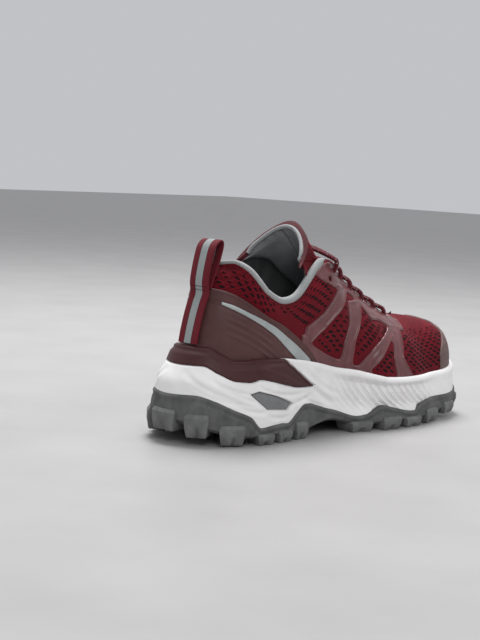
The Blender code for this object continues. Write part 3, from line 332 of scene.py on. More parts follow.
def body_radius(rib, height, flutes=True):
    """The outer side of the sole, from the plate's edge up to the rim that holds the upper."""
    low_r = sole_radius(rib)
    low_z = plate_top(rib.plan_x(low_r))
    rim_z = side_line("rim", rib)
    rim_r = upper_profile(rib, share_up(rib, rim_z))[0] + GAP + SIDE_LINES.at("lip", rib.share) * BALL_WIDTH
    s = np.clip((height - low_z) / (rim_z - low_z), 0.0, 1.0)
    radius = rim_r + (low_r - rim_r) * (1 - s * s)
    if flutes:
        fade = smooth_step(FLUTES_FROM, FLUTES_FULL, rib.share) * (1 - smooth_step(FLUTES_FADE, FLUTES_TO, rib.share))
        band = smooth_step(0.05, 0.40, s) * (1 - smooth_step(0.74, 0.90, s))
        lean = (rib.share - FLUTE_SWEEP * (1 - s) ** 1.4) / FLUTE_STEP
        scoop = SCOOP_DEPTH + FLUTE_DEPTH * (abs(np.sin(math.pi * lean)) - 0.5)
        radius = radius - fade * band * scoop
    return radius


# --- the film's outlines on the upper -------------------------------------------------------------

# The cage's eyestay: share, and its outer edge over the collar height
EYESTAY = Table("share height", (
    (0.372, 0.950),
    (0.400, 0.915),
    (0.436, 0.878),
    (0.475, 0.865),
    (0.524, 0.800),
    (0.545, 0.745),
    (0.565, 0.665),
    (0.595, 0.655),
    (0.625, 0.616),
    (0.660, 0.598),
    (0.690, 0.580),
    (0.706, 0.590),
))
# The cage's legs, from the foot up: height over the collar height, share, half width in share
CAGE_LEGS = (
    (
        (0.560, 0.352, 0.010), (0.600, 0.361, 0.021), (0.654, 0.378, 0.034), (0.731, 0.423, 0.028),
        (0.880, 0.485, 0.030),
    ),
    (
        (0.330, 0.458, 0.020), (0.454, 0.469, 0.018), (0.550, 0.477, 0.018), (0.672, 0.501, 0.022),
        (0.790, 0.518, 0.030),
    ),
    (
        (0.320, 0.485, 0.024), (0.400, 0.525, 0.026), (0.456, 0.550, 0.028), (0.518, 0.580, 0.026),
        (0.616, 0.648, 0.020),
    ),
    (
        (0.250, 0.652, 0.034), (0.310, 0.640, 0.030), (0.373, 0.631, 0.024), (0.432, 0.625, 0.019),
        (0.620, 0.655, 0.024),
    ),
)
# The low band that joins the legs' feet above the foam: share, and its height above the rim in mm
BASE_BAND = Table("share rise", (
    (0.330, 18.0),
    (0.358, 13.0),
    (0.400, 9.0),
    (0.425, 7.4),
    (0.460, 5.5),
    (0.490, 3.5),
    (0.530, 2.0),
    (0.560, -3.0),
))
# Eyelets: share, and row of the solid upper
EYELETS = ((0.452, 7.35), (0.490, 7.30), (0.530, 7.30), (0.572, 7.30), (0.616, 7.25), (0.658, 7.20))
SPARE_EYELET = (0.424, 6.90)

# Top edge of the heel counter and the two edges of its reflective stripe, over the collar height
COUNTER = Table("share top stripe_top stripe_low", (
    (0.000, 0.870, 0.810, 0.800),
    (0.066, 0.864, 0.802, 0.788),
    (0.123, 0.846, 0.784, 0.758),
    (0.168, 0.812, 0.754, 0.725),
    (0.240, 0.720, 0.686, 0.642),
    (0.285, 0.660, 0.612, 0.545),
    (0.325, 0.588, 0.537, 0.458),
    (0.350, 0.535, 0.482, 0.420),
    (0.395, 0.435, 0.380, 0.370),
))
# Upper edge of the toe cap over the collar height
TOE_CAP_EDGE = Table("share height", (
    (0.792, 0.300),
    (0.800, 0.410),
    (0.830, 0.490),
    (0.870, 0.552),
    (0.900, 0.586),
    (0.935, 0.612),
    (1.000, 0.630),
))


def rim_share(rib):
    """The v at which the upper meets the foam's rim."""
    return share_up(rib, side_line("rim", rib))


def row_share(side, share, row):
    """The v of a row of the solid upper, counted from 2 at the foam's rim to 8 at the top edge."""
    rib = Ribs(turn_of(side, share))
    rim = float(rim_share(rib))
    return rim + (row - 2) / 6 * (1 - rim)


def melt(first, second, width):
    """The union of two outlines with its inner corners rounded."""
    h = np.clip(0.5 + 0.5 * (second - first) / width, 0, 1)
    return second + (first - second) * h - width * h * (1 - h)


def leg_distance(rows, share, height):
    """How far outside one leg of the cage a spot is."""
    heights, centres, halves = (np.array(column) for column in zip(*rows))
    heights = heights * COLLAR_HEIGHT
    centre_at = lambda z: np.interp(z, heights, centres)
    slope = (centre_at(height + MM) - centre_at(height - MM)) * RIB_STEP / (2 * MM)
    across = (abs(share - centre_at(height)) - np.interp(height, heights, halves)) * RIB_STEP
    return np.maximum(across / np.sqrt(1 + slope**2), height - heights[-1])


def cage_distance(rib, v):
    """How far outside the cage's edge a spot on the upper is, below zero on the film."""
    height = upper_profile(rib, v)[1]
    stay = EYESTAY.at("height", rib.share) * COLLAR_HEIGHT - height
    stay = -melt(-stay, (rib.share - CAGE_FROM) * RIB_STEP, 8 * MM)
    stay = -melt(-stay, (CAGE_TO - rib.share) * RIB_STEP, 6 * MM)
    stay = np.maximum(stay, (v - 0.985) * 80 * MM)
    found = height - side_line("rim", rib) - BASE_BAND.at("rise", rib.share) * MM
    found = np.maximum(found, (BASE_BAND_FROM - rib.share) * RIB_STEP)
    for rows in CAGE_LEGS:
        found = melt(found, leg_distance(rows, rib.share, height), 3 * MM)
    return melt(found, stay, 3 * MM)


def counter_distance(rib, v):
    """How far outside the heel counter's edge a spot on the upper is."""
    above = upper_profile(rib, v)[1] - COUNTER.at("top", rib.share) * COLLAR_HEIGHT
    return np.maximum(above, (rib.share - COUNTER_END) * RIB_STEP)


def toe_cap_distance(rib, v):
    """How far outside the toe cap's edge a spot on the upper is."""
    above = upper_profile(rib, v)[1] - TOE_CAP_EDGE.at("height", rib.share) * COLLAR_HEIGHT
    return np.maximum(above, (TOE_CAP_FROM - rib.share) * RIB_STEP)


# --- the upper's face ----------------------------------------------------------------------------

# Creases over the vamp: place over the shoe's length, slant towards the sides, depth in mm
VAMP_CREASES = ((0.742, 0.16, 0.45), (0.775, 0.22, 0.6), (0.812, 0.28, 0.4))
VAMP_RIB = 0.28 * MM
VAMP_RIB_STEP = 4.4 * MM


def vamp_relief(rib, v, radius):
    """The vamp's flex creases and its fine diagonal ribs."""
    x, off_middle = rib.plan_x(radius), abs(rib.y + rib.dy * radius)
    relief = 0.0 * x
    over = smooth_step(0.45, 0.8, v)
    for spot, slant, depth in VAMP_CREASES:
        line = x - spot * SHOE_LENGTH + slant * off_middle
        relief -= depth * MM * over * (hump(line, 0, 2.2 * MM) - 0.5 * hump(line, 4.5 * MM, 3 * MM))
    share = rib.share
    vamp = smooth_step(0.690, 0.715, share) * smooth_step(0.42, 0.62, v) * (1 - smooth_step(0.86, 0.93, share))
    return relief + VAMP_RIB * vamp * np.sin((x + 0.55 * off_middle) * 2 * math.pi / VAMP_RIB_STEP)


def upper_relief(rib, v):
    """Padding, pulls and creases of the upper, off its plain form."""
    share = rib.share
    collar = 1 - smooth_step(0.37, 0.45, share)
    padding = collar * (1.3 * MM * hump(v, 0.84, 0.10) - 0.7 * MM * hump(v, 0.985, 0.03))
    between = smooth_step(0.36, 0.42, share) * (1 - smooth_step(0.68, 0.73, share))
    away = np.clip(cage_distance(rib, v), 0, 12 * MM)
    puff = 0.9 * MM * between * (1 - np.exp(-away / (4 * MM)))
    pull = np.sin(share * 95 + v * 7) * np.sin(v * 11 - share * 31) * np.sin(math.pi * np.clip(v, 0, 1))
    return padding + puff + vamp_relief(rib, v, upper_profile(rib, v)[0]) + 0.16 * MM * pull


def plain_point(turn, v):
    """A spot on the upper's plain form."""
    rib = Ribs(turn)
    return rib.place(*upper_profile(rib, np.clip(v, 0, 1)))


def upper_point(turn, v, lift=0.0, step=0.003):
    """A spot on the upper's outer face, lifted off it, and the way that it faces."""
    along = plain_point(turn + step, v) - plain_point(turn - step, v)
    up = plain_point(turn, np.minimum(v + step, 1)) - plain_point(turn, np.maximum(v - step, 0))
    normal = np.cross(along, up)
    size = np.linalg.norm(normal, axis=-1, keepdims=True)
    normal = np.where(size > 1e-12, normal / np.maximum(size, 1e-12), (0.0, 0.0, 1.0))
    off = upper_relief(Ribs(turn), v) + lift
    return plain_point(turn, v) + normal * np.asarray(off)[..., None], normal


# --- making meshes ---------------------------------------------------------------------------------

def shoe_mesh(name, points, faces, finishes, slots=None, weld=1e-5, sharp=None, outward=True):
    """A finished mesh piece, welded and shaded smooth, its faces turned outwards."""
    mesh = bpy.data.meshes.new(name)
    mesh.from_pydata([tuple(p) for p in points], [], [tuple(int(i) for i in f) for f in faces])
    for finish in finishes:
        mesh.materials.append(finish)
    if slots is not None:
        mesh.polygons.foreach_set("material_index", np.asarray(slots, np.int32))
    bm = bmesh.new()
    bm.from_mesh(mesh)
    bmesh.ops.remove_doubles(bm, verts=bm.verts, dist=weld)
    bmesh.ops.dissolve_degenerate(bm, edges=bm.edges, dist=1e-6)
    if outward:
        bmesh.ops.recalc_face_normals(bm, faces=bm.faces)
    bm.to_mesh(mesh)
    bm.free()
    mesh.shade_smooth()
    if sharp:
        mesh.set_sharp_from_angle(angle=math.radians(sharp))
    made = bpy.data.objects.new(name, mesh)
    bpy.context.scene.collection.objects.link(made)
    return made


def fixed(obj, *modifiers):
    """Applies modifiers, given as (kind, settings), and leaves a plain mesh."""
    for kind, settings in modifiers:
        modifier = obj.modifiers.new(kind.lower(), kind)
        for key, value in settings.items():
            setattr(modifier, key, value)
    bpy.context.view_layer.update()
    graph = bpy.context.evaluated_depsgraph_get()
    mesh = bpy.data.meshes.new_from_object(obj.evaluated_get(graph))
    obj.modifiers.clear()
    obj.data = mesh
    return obj


def grid_faces(rows, across, loop_rows=False, loop_across=False):
    """The four-sided faces of a grid of points, closed one way or the other if asked."""
    i, j = np.meshgrid(np.arange(rows - (not loop_rows)), np.arange(across - (not loop_across)), indexing="ij")
    i2, j2 = (i + 1) % rows, (j + 1) % across
    quads = np.stack([i * across + j, i * across + j2, i2 * across + j2, i2 * across + j], axis=-1)
    return quads.reshape(-1, 4).tolist()


def tube_faces(rings, sides):
    """The faces of a tube made of rings, with its two ends closed."""
    ends = [list(range(sides)), list(range((rings - 1) * sides, rings * sides))]
    return grid_faces(rings, sides, loop_across=True) + ends


def length_along(spots):
    """How far along a line each of its spots is."""
    return np.concatenate([[0], np.cumsum(np.linalg.norm(np.diff(spots, axis=0), axis=1))])


def add_values(obj, name, values):
    """Gives each vertex a number."""
    layer = obj.data.attributes.new(name, "FLOAT", "POINT")
    layer.data.foreach_set("value", np.asarray(values, np.float32))


def add_vectors(obj, name, values):
    """Gives each vertex a direction."""
    layer = obj.data.attributes.new(name, "FLOAT_VECTOR", "POINT")
    layer.data.foreach_set("vector", np.asarray(values, np.float32).ravel())


def map_faces(obj, values):
    """Gives the mesh a UV map from one pair of numbers at each vertex."""
    layer = obj.data.uv_layers.new(name="UVMap")
    corners = np.zeros(len(obj.data.loops), np.int32)
    obj.data.loops.foreach_get("vertex_index", corners)
    layer.data.foreach_set("uv", np.asarray(values, np.float32)[corners].ravel())


def cut_sheet(name, turn, v, outline, lift, finish, thickness):
    """A film on the upper: the part of a grid where outline() is below zero, cut cleanly along its edge."""
    depth = outline(Ribs(turn), v)
    inside = depth <= 0
    spots, made, faces = [], {}, []

    def corner(i, j):
        if (i, j) not in made:
            made[i, j] = len(spots)
            spots.append((turn[i, j], v[i, j]))
        return made[i, j]

    def crossing(a, b):
        key = (min(a, b), max(a, b))
        if key not in made:
            a, b = key
            t = depth[a] / (depth[a] - depth[b])
            made[key] = len(spots)
            spots.append((turn[a] + t * (turn[b] - turn[a]), v[a] + t * (v[b] - v[a])))
        return made[key]

    touched = inside[:-1, :-1] | inside[1:, :-1] | inside[:-1, 1:] | inside[1:, 1:]
    for i, j in zip(*np.nonzero(touched)):
        i, j = int(i), int(j)
        ring = [(i, j), (i + 1, j), (i + 1, j + 1), (i, j + 1)]
        face = []
        for a, b in zip(ring, ring[1:] + ring[:1]):
            if inside[a]:
                face.append(corner(*a))
            if inside[a] != inside[b]:
                face.append(crossing(a, b))
        if len(face) > 2:
            faces.append(face)
    at_turn, at_v = np.array(spots).T
    deep = -outline(Ribs(at_turn), at_v)
    points, _ = upper_point(at_turn, at_v, lift(Ribs(at_turn), at_v, np.maximum(deep, 0)))
    sheet = shoe_mesh(name, points, faces, [finish], outward=False)
    fixed(sheet, ("SOLIDIFY", {"thickness": thickness, "offset": -1}))
    sheet.data.shade_smooth()
    return sheet


def film_rows(turns, count, high=1.0):
    """A grid on the upper from just under the foam's rim up to this share of the wall above it."""
    rim = rim_share(Ribs(turns)) - 0.03
    turn = np.repeat(np.asarray(turns)[:, None], count, axis=1)
    return turn, rim[:, None] + np.linspace(0, high, count)[None, :] * (1 - rim[:, None])


def rolled(deep, height, edge):
    """Height of a film whose edge is rounded over this width."""
    t = np.clip(deep / edge, 0, 1)
    return height * np.sqrt(1 - (1 - t) ** 2) - 0.12 * MM


def along_curve(points, count):
    """Evenly spaced spots on a smooth curve through these points."""
    p = np.asarray(points, float)
    p = np.vstack([2 * p[0] - p[1], p, 2 * p[-1] - p[-2]])
    t = np.linspace(0, 1, 12, endpoint=False)[:, None]
    runs = []
    for a, b, c, d in zip(p, p[1:], p[2:], p[3:]):
        runs.append(0.5 * (2 * b + (c - a) * t + (2 * a - 5 * b + 4 * c - d) * t**2 + (3 * b - a - 3 * c + d) * t**3))
    dense = np.vstack(runs + [p[-2:-1]])
    length = length_along(dense)
    at = np.linspace(0, length[-1], count)
    return np.stack([np.interp(at, length, dense[:, k]) for k in range(dense.shape[1])], axis=1)


def unit(vectors):
    """Directions of length 1."""
    return vectors / np.maximum(np.linalg.norm(vectors, axis=-1, keepdims=True), 1e-12)


MAP_SCALE = 100  # units of the map along a cord or ribbon in one metre


def swept(name, spots, ups, half_width, half_height, sides, finish, squareness=2.0):
    """A closed cord, roll or ribbon along these spots, its flat side facing along ups."""
    spots, ups = np.asarray(spots), np.asarray(ups)
    ahead = unit(np.gradient(spots, axis=0))
    across = unit(np.cross(ahead, ups))
    over = np.cross(across, ahead)
    angle = np.arange(sides) * 2 * math.pi / sides
    power = 2 / squareness
    c = np.sign(np.cos(angle)) * abs(np.cos(angle)) ** power
    s = np.sign(np.sin(angle)) * abs(np.sin(angle)) ** power
    w = np.broadcast_to(half_width, len(spots))[:, None, None]
    h = np.broadcast_to(half_height, len(spots))[:, None, None]
    rings = spots[:, None] + w * across[:, None] * c[None, :, None] + h * over[:, None] * s[None, :, None]
    made = shoe_mesh(name, rings.reshape(-1, 3), tube_faces(len(spots), sides), [finish], weld=1e-7)
    u, t = np.broadcast_arrays(0.5 + 0.5 * c[None, :], length_along(spots)[:, None] * MAP_SCALE)
    if len(made.data.vertices) == len(spots) * sides:
        map_faces(made, np.stack([u.ravel(), t.ravel()], axis=1))
    return made


def joined(name, pieces, sharp=None):
    """One smooth mesh from several, with their finishes kept."""
    bm = bmesh.new()
    finishes = []
    for piece in pieces:
        for finish in piece.data.materials:
            if finish not in finishes:
                finishes.append(finish)
        slots = [finishes.index(finish) for finish in piece.data.materials]
        first = len(bm.faces)
        bm.from_mesh(piece.data)
        bm.faces.ensure_lookup_table()
        for face in bm.faces[first:]:
            face.material_index = slots[face.material_index]
        bpy.data.objects.remove(piece)
    mesh = bpy.data.meshes.new(name)
    bm.to_mesh(mesh)
    bm.free()
    for finish in finishes:
        mesh.materials.append(finish)
    mesh.shade_smooth()
    if sharp:
        mesh.set_sharp_from_angle(angle=math.radians(sharp))
    made = bpy.data.objects.new(name, mesh)
    bpy.context.scene.collection.objects.link(made)
    return made


def settle(obj, slot, *nodes):
    """The piece rides on the shoe and stands for these solids."""
    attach(obj, "root")
    if nodes:
        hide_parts(*nodes)
    return obj


# --- finishes ----------------------------------------------------------------------------------------

def plug(tree, node, socket, value):
    """Links or sets one input of a node."""
    if isinstance(value, bpy.types.NodeSocket):
        tree.links.new(value, node.inputs[socket])
    else:
        node.inputs[socket].default_value = value


def add_node(tree, kind, sockets=None, **settings):
    """A new node with its settings and inputs."""
    node = tree.nodes.new(kind)
    for key, value in settings.items():
        setattr(node, key, value)
    for key, value in (sockets or {}).items():
        plug(tree, node, key, value)
    return node


def blend(tree, share, first, second):
    """A mix of two colours."""
    solid = lambda colour: colour if isinstance(colour, bpy.types.NodeSocket) else (*colour, 1)
    node = add_node(tree, "ShaderNodeMix", data_type="RGBA")
    for socket, value in ((0, share), (6, solid(first)), (7, solid(second))):
        plug(tree, node, socket, value)
    return node.outputs[2]


def figure(tree, operation, first, second=0.5, clamp=False):
    """One step of arithmetic."""
    return add_node(tree, "ShaderNodeMath", {0: first, 1: second}, operation=operation, use_clamp=clamp).outputs[0]


def lifted(tree, value, scale, base):
    """value * scale + base"""
    return add_node(tree, "ShaderNodeMath", {0: value, 1: scale, 2: base}, operation="MULTIPLY_ADD").outputs[0]


WAVE_LENGTH = 0.314  # what a wave texture of scale 1 repeats at


def band_pattern(tree, vector, period, turned, bend=0.0):
    """Rows at this spacing, turned about an axis, a little bent."""
    mapping = add_node(tree, "ShaderNodeMapping", {"Vector": vector, "Rotation": turned})
    wave = add_node(tree, "ShaderNodeTexWave", {
        "Vector": mapping.outputs[0], "Scale": WAVE_LENGTH / period, "Distortion": bend, "Detail": 1.0,
    })
    return wave.outputs["Fac"]


def finish(name, dark, light, roughness, grain=0.6 * MM, depth=0.03 * MM, patch=14 * MM, rows=(),
           row_depth=0.1 * MM, coat=0.0, coat_roughness=0.2, sheen=0.0, metallic=0.0, gaps=0.45, spread=0.12,
           shine=0.25):
    """A material with patches of two tones, a fine grain and, for cloth, rows of thread."""
    made = bpy.data.materials.new(name)
    made.use_nodes = True
    tree = made.node_tree
    shader = tree.nodes["Principled BSDF"]
    vector = add_node(tree, "ShaderNodeTexCoord").outputs["Object"]
    patches = add_node(tree, "ShaderNodeTexNoise", {"Vector": vector, "Scale": 1 / patch, "Detail": 3.0})
    grains = add_node(tree, "ShaderNodeTexNoise", {"Vector": vector, "Scale": 1 / grain, "Detail": 4.0})
    colour = blend(tree, figure(tree, "MULTIPLY", patches.outputs["Fac"], 1.3, True), dark, light)
    height = figure(tree, "MULTIPLY", grains.outputs["Fac"], depth)
    if rows:
        threads = None
        for period, turned in rows:
            found = band_pattern(tree, vector, period, turned, 0.4)
            threads = found if threads is None else figure(tree, "MULTIPLY", threads, found)
        colour = blend(tree, lifted(tree, threads, 1 - gaps, gaps), tuple(0.25 * c for c in dark), colour)
        height = figure(tree, "ADD", height, figure(tree, "MULTIPLY", threads, row_depth))
    bump = add_node(tree, "ShaderNodeBump", {"Height": height, "Distance": 1.0, "Strength": 1.0})
    tree.links.new(colour, shader.inputs["Base Color"])
    tree.links.new(bump.outputs[0], shader.inputs["Normal"])
    tree.links.new(lifted(tree, grains.outputs["Fac"], spread, roughness - spread / 2), shader.inputs["Roughness"])
    constants = {
        "Coat Weight": coat, "Coat Roughness": coat_roughness, "Sheen Weight": sheen, "Metallic": metallic,
        "Specular IOR Level": shine,
    }
    for socket, value in constants.items():
        shader.inputs[socket].default_value = value
    return made


def dressed_finish(made, colour, height, distance, strength):
    """Gives a finish another colour and bump."""
    tree = made.node_tree
    shader = tree.nodes["Principled BSDF"]
    bump = add_node(tree, "ShaderNodeBump", {"Height": height, "Distance": distance, "Strength": strength})
    tree.links.new(colour, shader.inputs["Base Color"])
    tree.links.new(bump.outputs[0], shader.inputs["Normal"])
    return made


def map_and_colour(made):
    """The tree of a finish, the piece's own map and the colour that the finish has so far."""
    tree = made.node_tree
    place = add_node(tree, "ShaderNodeTexCoord").outputs["UV"]
    return tree, place, tree.nodes["Principled BSDF"].inputs["Base Color"].links[0].from_socket


def webbing_finish():
    """Red webbing with a grey middle band between two thin dark lines, woven across."""
    made = finish("striped_webbing", (0.12, 0.005, 0.011), (0.18, 0.008, 0.019), 0.8, sheen=0.06)
    tree, place, red = map_and_colour(made)
    across = add_node(tree, "ShaderNodeSeparateXYZ", {"Vector": place}).outputs[0]
    off = figure(tree, "ABSOLUTE", figure(tree, "SUBTRACT", across, 0.5))
    colour = red
    for half_width, tone in ((0.195, (0.012, 0.004, 0.006)), (0.175, (0.36, 0.39, 0.39))):
        colour = blend(tree, figure(tree, "LESS_THAN", off, half_width), colour, tone)
    threads = band_pattern(tree, place, 0.075, (0, 0, math.pi / 2))
    woven = figure(tree, "MULTIPLY", threads, band_pattern(tree, place, 0.06, (0, 0, 0)))
    colour = blend(tree, figure(tree, "MULTIPLY", woven, 0.6), colour, (0.02, 0.004, 0.006))
    return dressed_finish(made, colour, threads, 0.14 * MM, 0.9)


def lace_finish():
    """A braided dark red lace with grey flecks."""
    made = finish("braided_lace", (0.075, 0.004, 0.009), (0.16, 0.009, 0.020), 0.7, sheen=0.06)
    tree, place, red = map_and_colour(made)
    strands = [band_pattern(tree, place, 0.13, (0, 0, math.radians(angle))) for angle in (38, -38)]
    braid = figure(tree, "MAXIMUM", *strands)
    stretched = add_node(tree, "ShaderNodeMapping", {"Vector": place, "Scale": (1.5, 3.0, 1.0)})
    flecks = add_node(tree, "ShaderNodeTexVoronoi", {"Vector": stretched.outputs[0], "Scale": 2.2})
    fleck = figure(tree, "LESS_THAN", flecks.outputs["Distance"], 0.23)
    colour = blend(tree, fleck, red, (0.30, 0.29, 0.29))
    between = figure(tree, "MULTIPLY", figure(tree, "SUBTRACT", 1.0, braid), 0.8)
    return dressed_finish(made, blend(tree, between, colour, (0.02, 0.002, 0.004)), braid, 0.3 * MM, 1.0)


def woven(period, other_period, depth, gaps, first=(0.0, 0.9, 0.5), second=(0.0, -0.7, -0.4)):
    """Settings of a cloth with two crossing rows of thread."""
    return {"rows": ((period, first), (other_period, second)), "row_depth": depth, "gaps": gaps}


def shoe_finishes():
    """The shoe's finishes, by what they are used for."""
    lining = woven(0.9 * MM, 0.9 * MM, 0.06 * MM, 0.3)
    binding = woven(0.8 * MM, 0.7 * MM, 0.06 * MM, 0.2, (0.0, 0.5, 0.3), (0.0, -0.6, 0.9))
    return {
        "foam": finish("white_foam", (0.76, 0.75, 0.745), (0.88, 0.87, 0.865), 0.5, grain=0.9 * MM),
        # One rubber in two tones: the rubber key's copy is painted darker as shade in the cup's recesses, the lug
        # key's copy lighter as wear and painted light on the lugs' outer faces.
        "rubber": finish(
            "grey_rubber", (0.038, 0.039, 0.039), (0.140, 0.141, 0.139), 0.68,
            grain=0.8 * MM, depth=0.07 * MM, patch=8 * MM,
        ),
        "lug": finish(
            "lug_rubber_worn_painted_light", (0.075, 0.077, 0.076), (0.19, 0.192, 0.188), 0.66,
            grain=0.7 * MM, depth=0.06 * MM, patch=6 * MM,
        ),
        "insert": finish("grey_insert", (0.13, 0.135, 0.14), (0.22, 0.225, 0.23), 0.42, grain=0.5 * MM),
        "clip": finish(
            "maroon_clip", (0.046, 0.014, 0.015), (0.072, 0.024, 0.025), 0.46, grain=0.5 * MM, depth=0.02 * MM,
        ),
        "mesh": finish(
            "crimson_mesh", (0.13, 0.003, 0.009), (0.27, 0.007, 0.020), 0.72, sheen=0.03, shine=0.12,
            **woven(1.3 * MM, 1.1 * MM, 0.16 * MM, 0.30),
        ),
        # Near-black discs for the mesh's holes: the dark lining seen through them, deepened with painted shade.
        "hole": finish("hole_painted_shade", (0.006, 0.001, 0.002), (0.012, 0.002, 0.004), 0.95),
        "thread": finish("mesh_thread", (0.12, 0.003, 0.009), (0.25, 0.006, 0.018), 0.7, sheen=0.03, shine=0.12),
        "film": finish(
            "mauve_film", (0.080, 0.021, 0.023), (0.165, 0.050, 0.054), 0.36, grain=0.4 * MM, depth=0.01 * MM,
            patch=8 * MM, coat=0.32, coat_roughness=0.16, shine=0.3,
        ),
        "counter": finish(
            "counter_film", (0.062, 0.025, 0.025), (0.105, 0.045, 0.044), 0.48, grain=0.35 * MM, depth=0.015 * MM,
        ),
        "toe": finish(
            "toe_film", (0.075, 0.045, 0.041), (0.175, 0.118, 0.110), 0.6,
            grain=0.9 * MM, depth=0.16 * MM, patch=3 * MM,
        ),
        "stripe": finish(
            "grey_reflective", (0.30, 0.325, 0.325), (0.42, 0.45, 0.45), 0.38, grain=0.3 * MM, metallic=0.25,
        ),
        "binding": finish("grey_binding", (0.48, 0.50, 0.50), (0.68, 0.70, 0.695), 0.8, sheen=0.05, **binding),
        "lining": finish("grey_lining", (0.085, 0.09, 0.092), (0.17, 0.175, 0.178), 0.85, sheen=0.05, **lining),
        "tongue_lining": finish(
            "tongue_lining", (0.204, 0.216, 0.221), (0.408, 0.42, 0.427), 0.85, sheen=0.05, **lining,
        ),
        "plain": finish(
            "maroon_cloth", (0.085, 0.006, 0.012), (0.14, 0.010, 0.02), 0.7, sheen=0.05,
            **woven(0.7 * MM, 0.7 * MM, 0.05 * MM, 0.3),
        ),
        "stitch": finish("dark_stitch", (0.03, 0.008, 0.010), (0.05, 0.012, 0.014), 0.8),
        "webbing": webbing_finish(),
        "lace": lace_finish(),
        "insole": finish("insole_cloth", (0.07, 0.072, 0.075), (0.11, 0.115, 0.118), 0.9, sheen=0.05),
    }


# --- repeated details, as node trees -----------------------------------------------------------------

# The one small form that each kind of detail repeats: node, its inputs and its settings
FORMS = {
    "disc": ("GeometryNodeMeshCircle", {"Vertices": 8, "Radius": 1.0}, {"fill_type": "NGON"}),
    "ring": (
        "GeometryNodeMeshCone",
        {"Vertices": 8, "Radius Top": 1.02, "Radius Bottom": 1.28, "Depth": 1.0}, {"fill_type": "NONE"},
    ),
    "bead": ("GeometryNodeMeshIcoSphere", {"Radius": 1.0, "Subdivisions": 2}, {}),
}


def detail_tree(name, shape, look):
    """Node tree that puts a form on each point, turned by its facing and along, and scaled by its size."""
    tree = bpy.data.node_groups.new(name, "GeometryNodeTree")
    tree.interface.new_socket("Geometry", in_out="INPUT", socket_type="NodeSocketGeometry")
    for socket in ("Length", "Width", "Rise"):
        tree.interface.new_socket(socket, in_out="INPUT", socket_type="NodeSocketFloat")
    tree.interface.new_socket("Geometry", in_out="OUTPUT", socket_type="NodeSocketGeometry")
    inputs, outputs = tree.nodes.new("NodeGroupInput"), tree.nodes.new("NodeGroupOutput")

    def read(key, kind):
        return add_node(tree, "GeometryNodeInputNamedAttribute", {"Name": key}, data_type=kind).outputs[0]

    kind, sockets, settings = FORMS[shape]
    form = add_node(tree, kind, sockets, **settings)
    align = "FunctionNodeAlignRotationToVector"
    upright = add_node(tree, align, {"Vector": read("facing", "FLOAT_VECTOR")}, axis="Z")
    ahead = {"Rotation": upright.outputs[0], "Vector": read("along", "FLOAT_VECTOR")}
    turned = add_node(tree, align, ahead, axis="X", pivot_axis="Z")
    wide = [figure(tree, "MULTIPLY", inputs.outputs[key], read("size", "FLOAT")) for key in ("Length", "Width")]
    scale = add_node(tree, "ShaderNodeCombineXYZ", {0: wide[0], 1: wide[1], 2: inputs.outputs["Rise"]})
    copies = add_node(tree, "GeometryNodeInstanceOnPoints", {
        "Points": inputs.outputs["Geometry"], "Instance": form.outputs[0], "Rotation": turned.outputs[0],
        "Scale": scale.outputs[0],
    })
    real = add_node(tree, "GeometryNodeRealizeInstances", {"Geometry": copies.outputs[0]})
    dressed = add_node(tree, "GeometryNodeSetMaterial", {"Geometry": real.outputs[0], "Material": look})
    tree.links.new(dressed.outputs[0], outputs.inputs[0])
    return tree


def scattered(name, spots, facing, along, size, shape, sizes, look):
    """Copies of one small form on these spots, by Geometry Nodes, as one plain mesh."""
    made = bpy.data.objects.new(name, bpy.data.meshes.new(name))
    made.data.from_pydata([tuple(p) for p in spots], [], [])
    bpy.context.scene.collection.objects.link(made)
    add_vectors(made, "facing", facing)
    add_vectors(made, "along", along)
    add_values(made, "size", size)
    modifier = made.modifiers.new("copies", "NODES")
    modifier.node_group = detail_tree(name + "_tree", shape, look)
    for item in modifier.node_group.interface.items_tree:
        if item.in_out == "INPUT" and item.name in sizes:
            modifier[item.identifier] = sizes[item.name]
    fixed(made)
    for key in ("facing", "along", "size"):
        if key in made.data.attributes:
            made.data.attributes.remove(made.data.attributes[key])
    made.data.shade_smooth()
    return made


THREAD = 0.28 * MM


def stitch_row(name, spots, facing, length, look, step):
    """Stitches laid end to end along a line, each half sunk in the cloth."""
    run = length_along(spots)
    at = np.arange(0.5 * step, run[-1], step)
    take = lambda table: np.stack([np.interp(at, run, table[:, k]) for k in range(3)], axis=1)
    ahead = unit(np.gradient(spots, axis=0))
    sizes = {"Length": length / 2, "Width": THREAD, "Rise": THREAD}
    made = scattered(name, take(spots), take(facing), take(ahead), np.ones(len(at)), "bead", sizes, look)
    return settle(made, "red_webbing")


# --- sole ------------------------------------------------------------------------------------------

# Corners of the midsole's window: share and height over the heel stack
WINDOW = (
    (0.174, 1.03),
    (0.200, 1.08),
    (0.254, 0.96),
    (0.304, 0.77),
    (0.290, 0.64),
    (0.224, 0.70),
)

# Creases on the foam's side: share and height over the heel stack of both ends, depth and width in mm
FOAM_CREASES = (
    (0.030, 1.42, 0.175, 0.78, 1.0, 1.6),
    (0.085, 1.33, 0.195, 0.86, 0.7, 1.1),
    (0.045, 1.20, 0.150, 0.82, 0.6, 1.0),
    (0.110, 1.22, 0.172, 1.03, 0.7, 1.1),
    (0.200, 1.16, 0.330, 0.96, 0.8, 1.2),
    (0.304, 0.78, 0.352, 0.90, 0.8, 1.3),
    (0.358, 1.08, 0.430, 0.66, 1.3, 2.0),
    (0.335, 1.44, 0.445, 0.84, 0.8, 1.5),
    (0.224, 0.58, 0.290, 0.52, 0.6, 1.2),
    (0.140, 0.80, 0.224, 0.66, 0.7, 1.2),
    (0.330, 0.90, 0.392, 0.64, 0.6, 1.1),
)


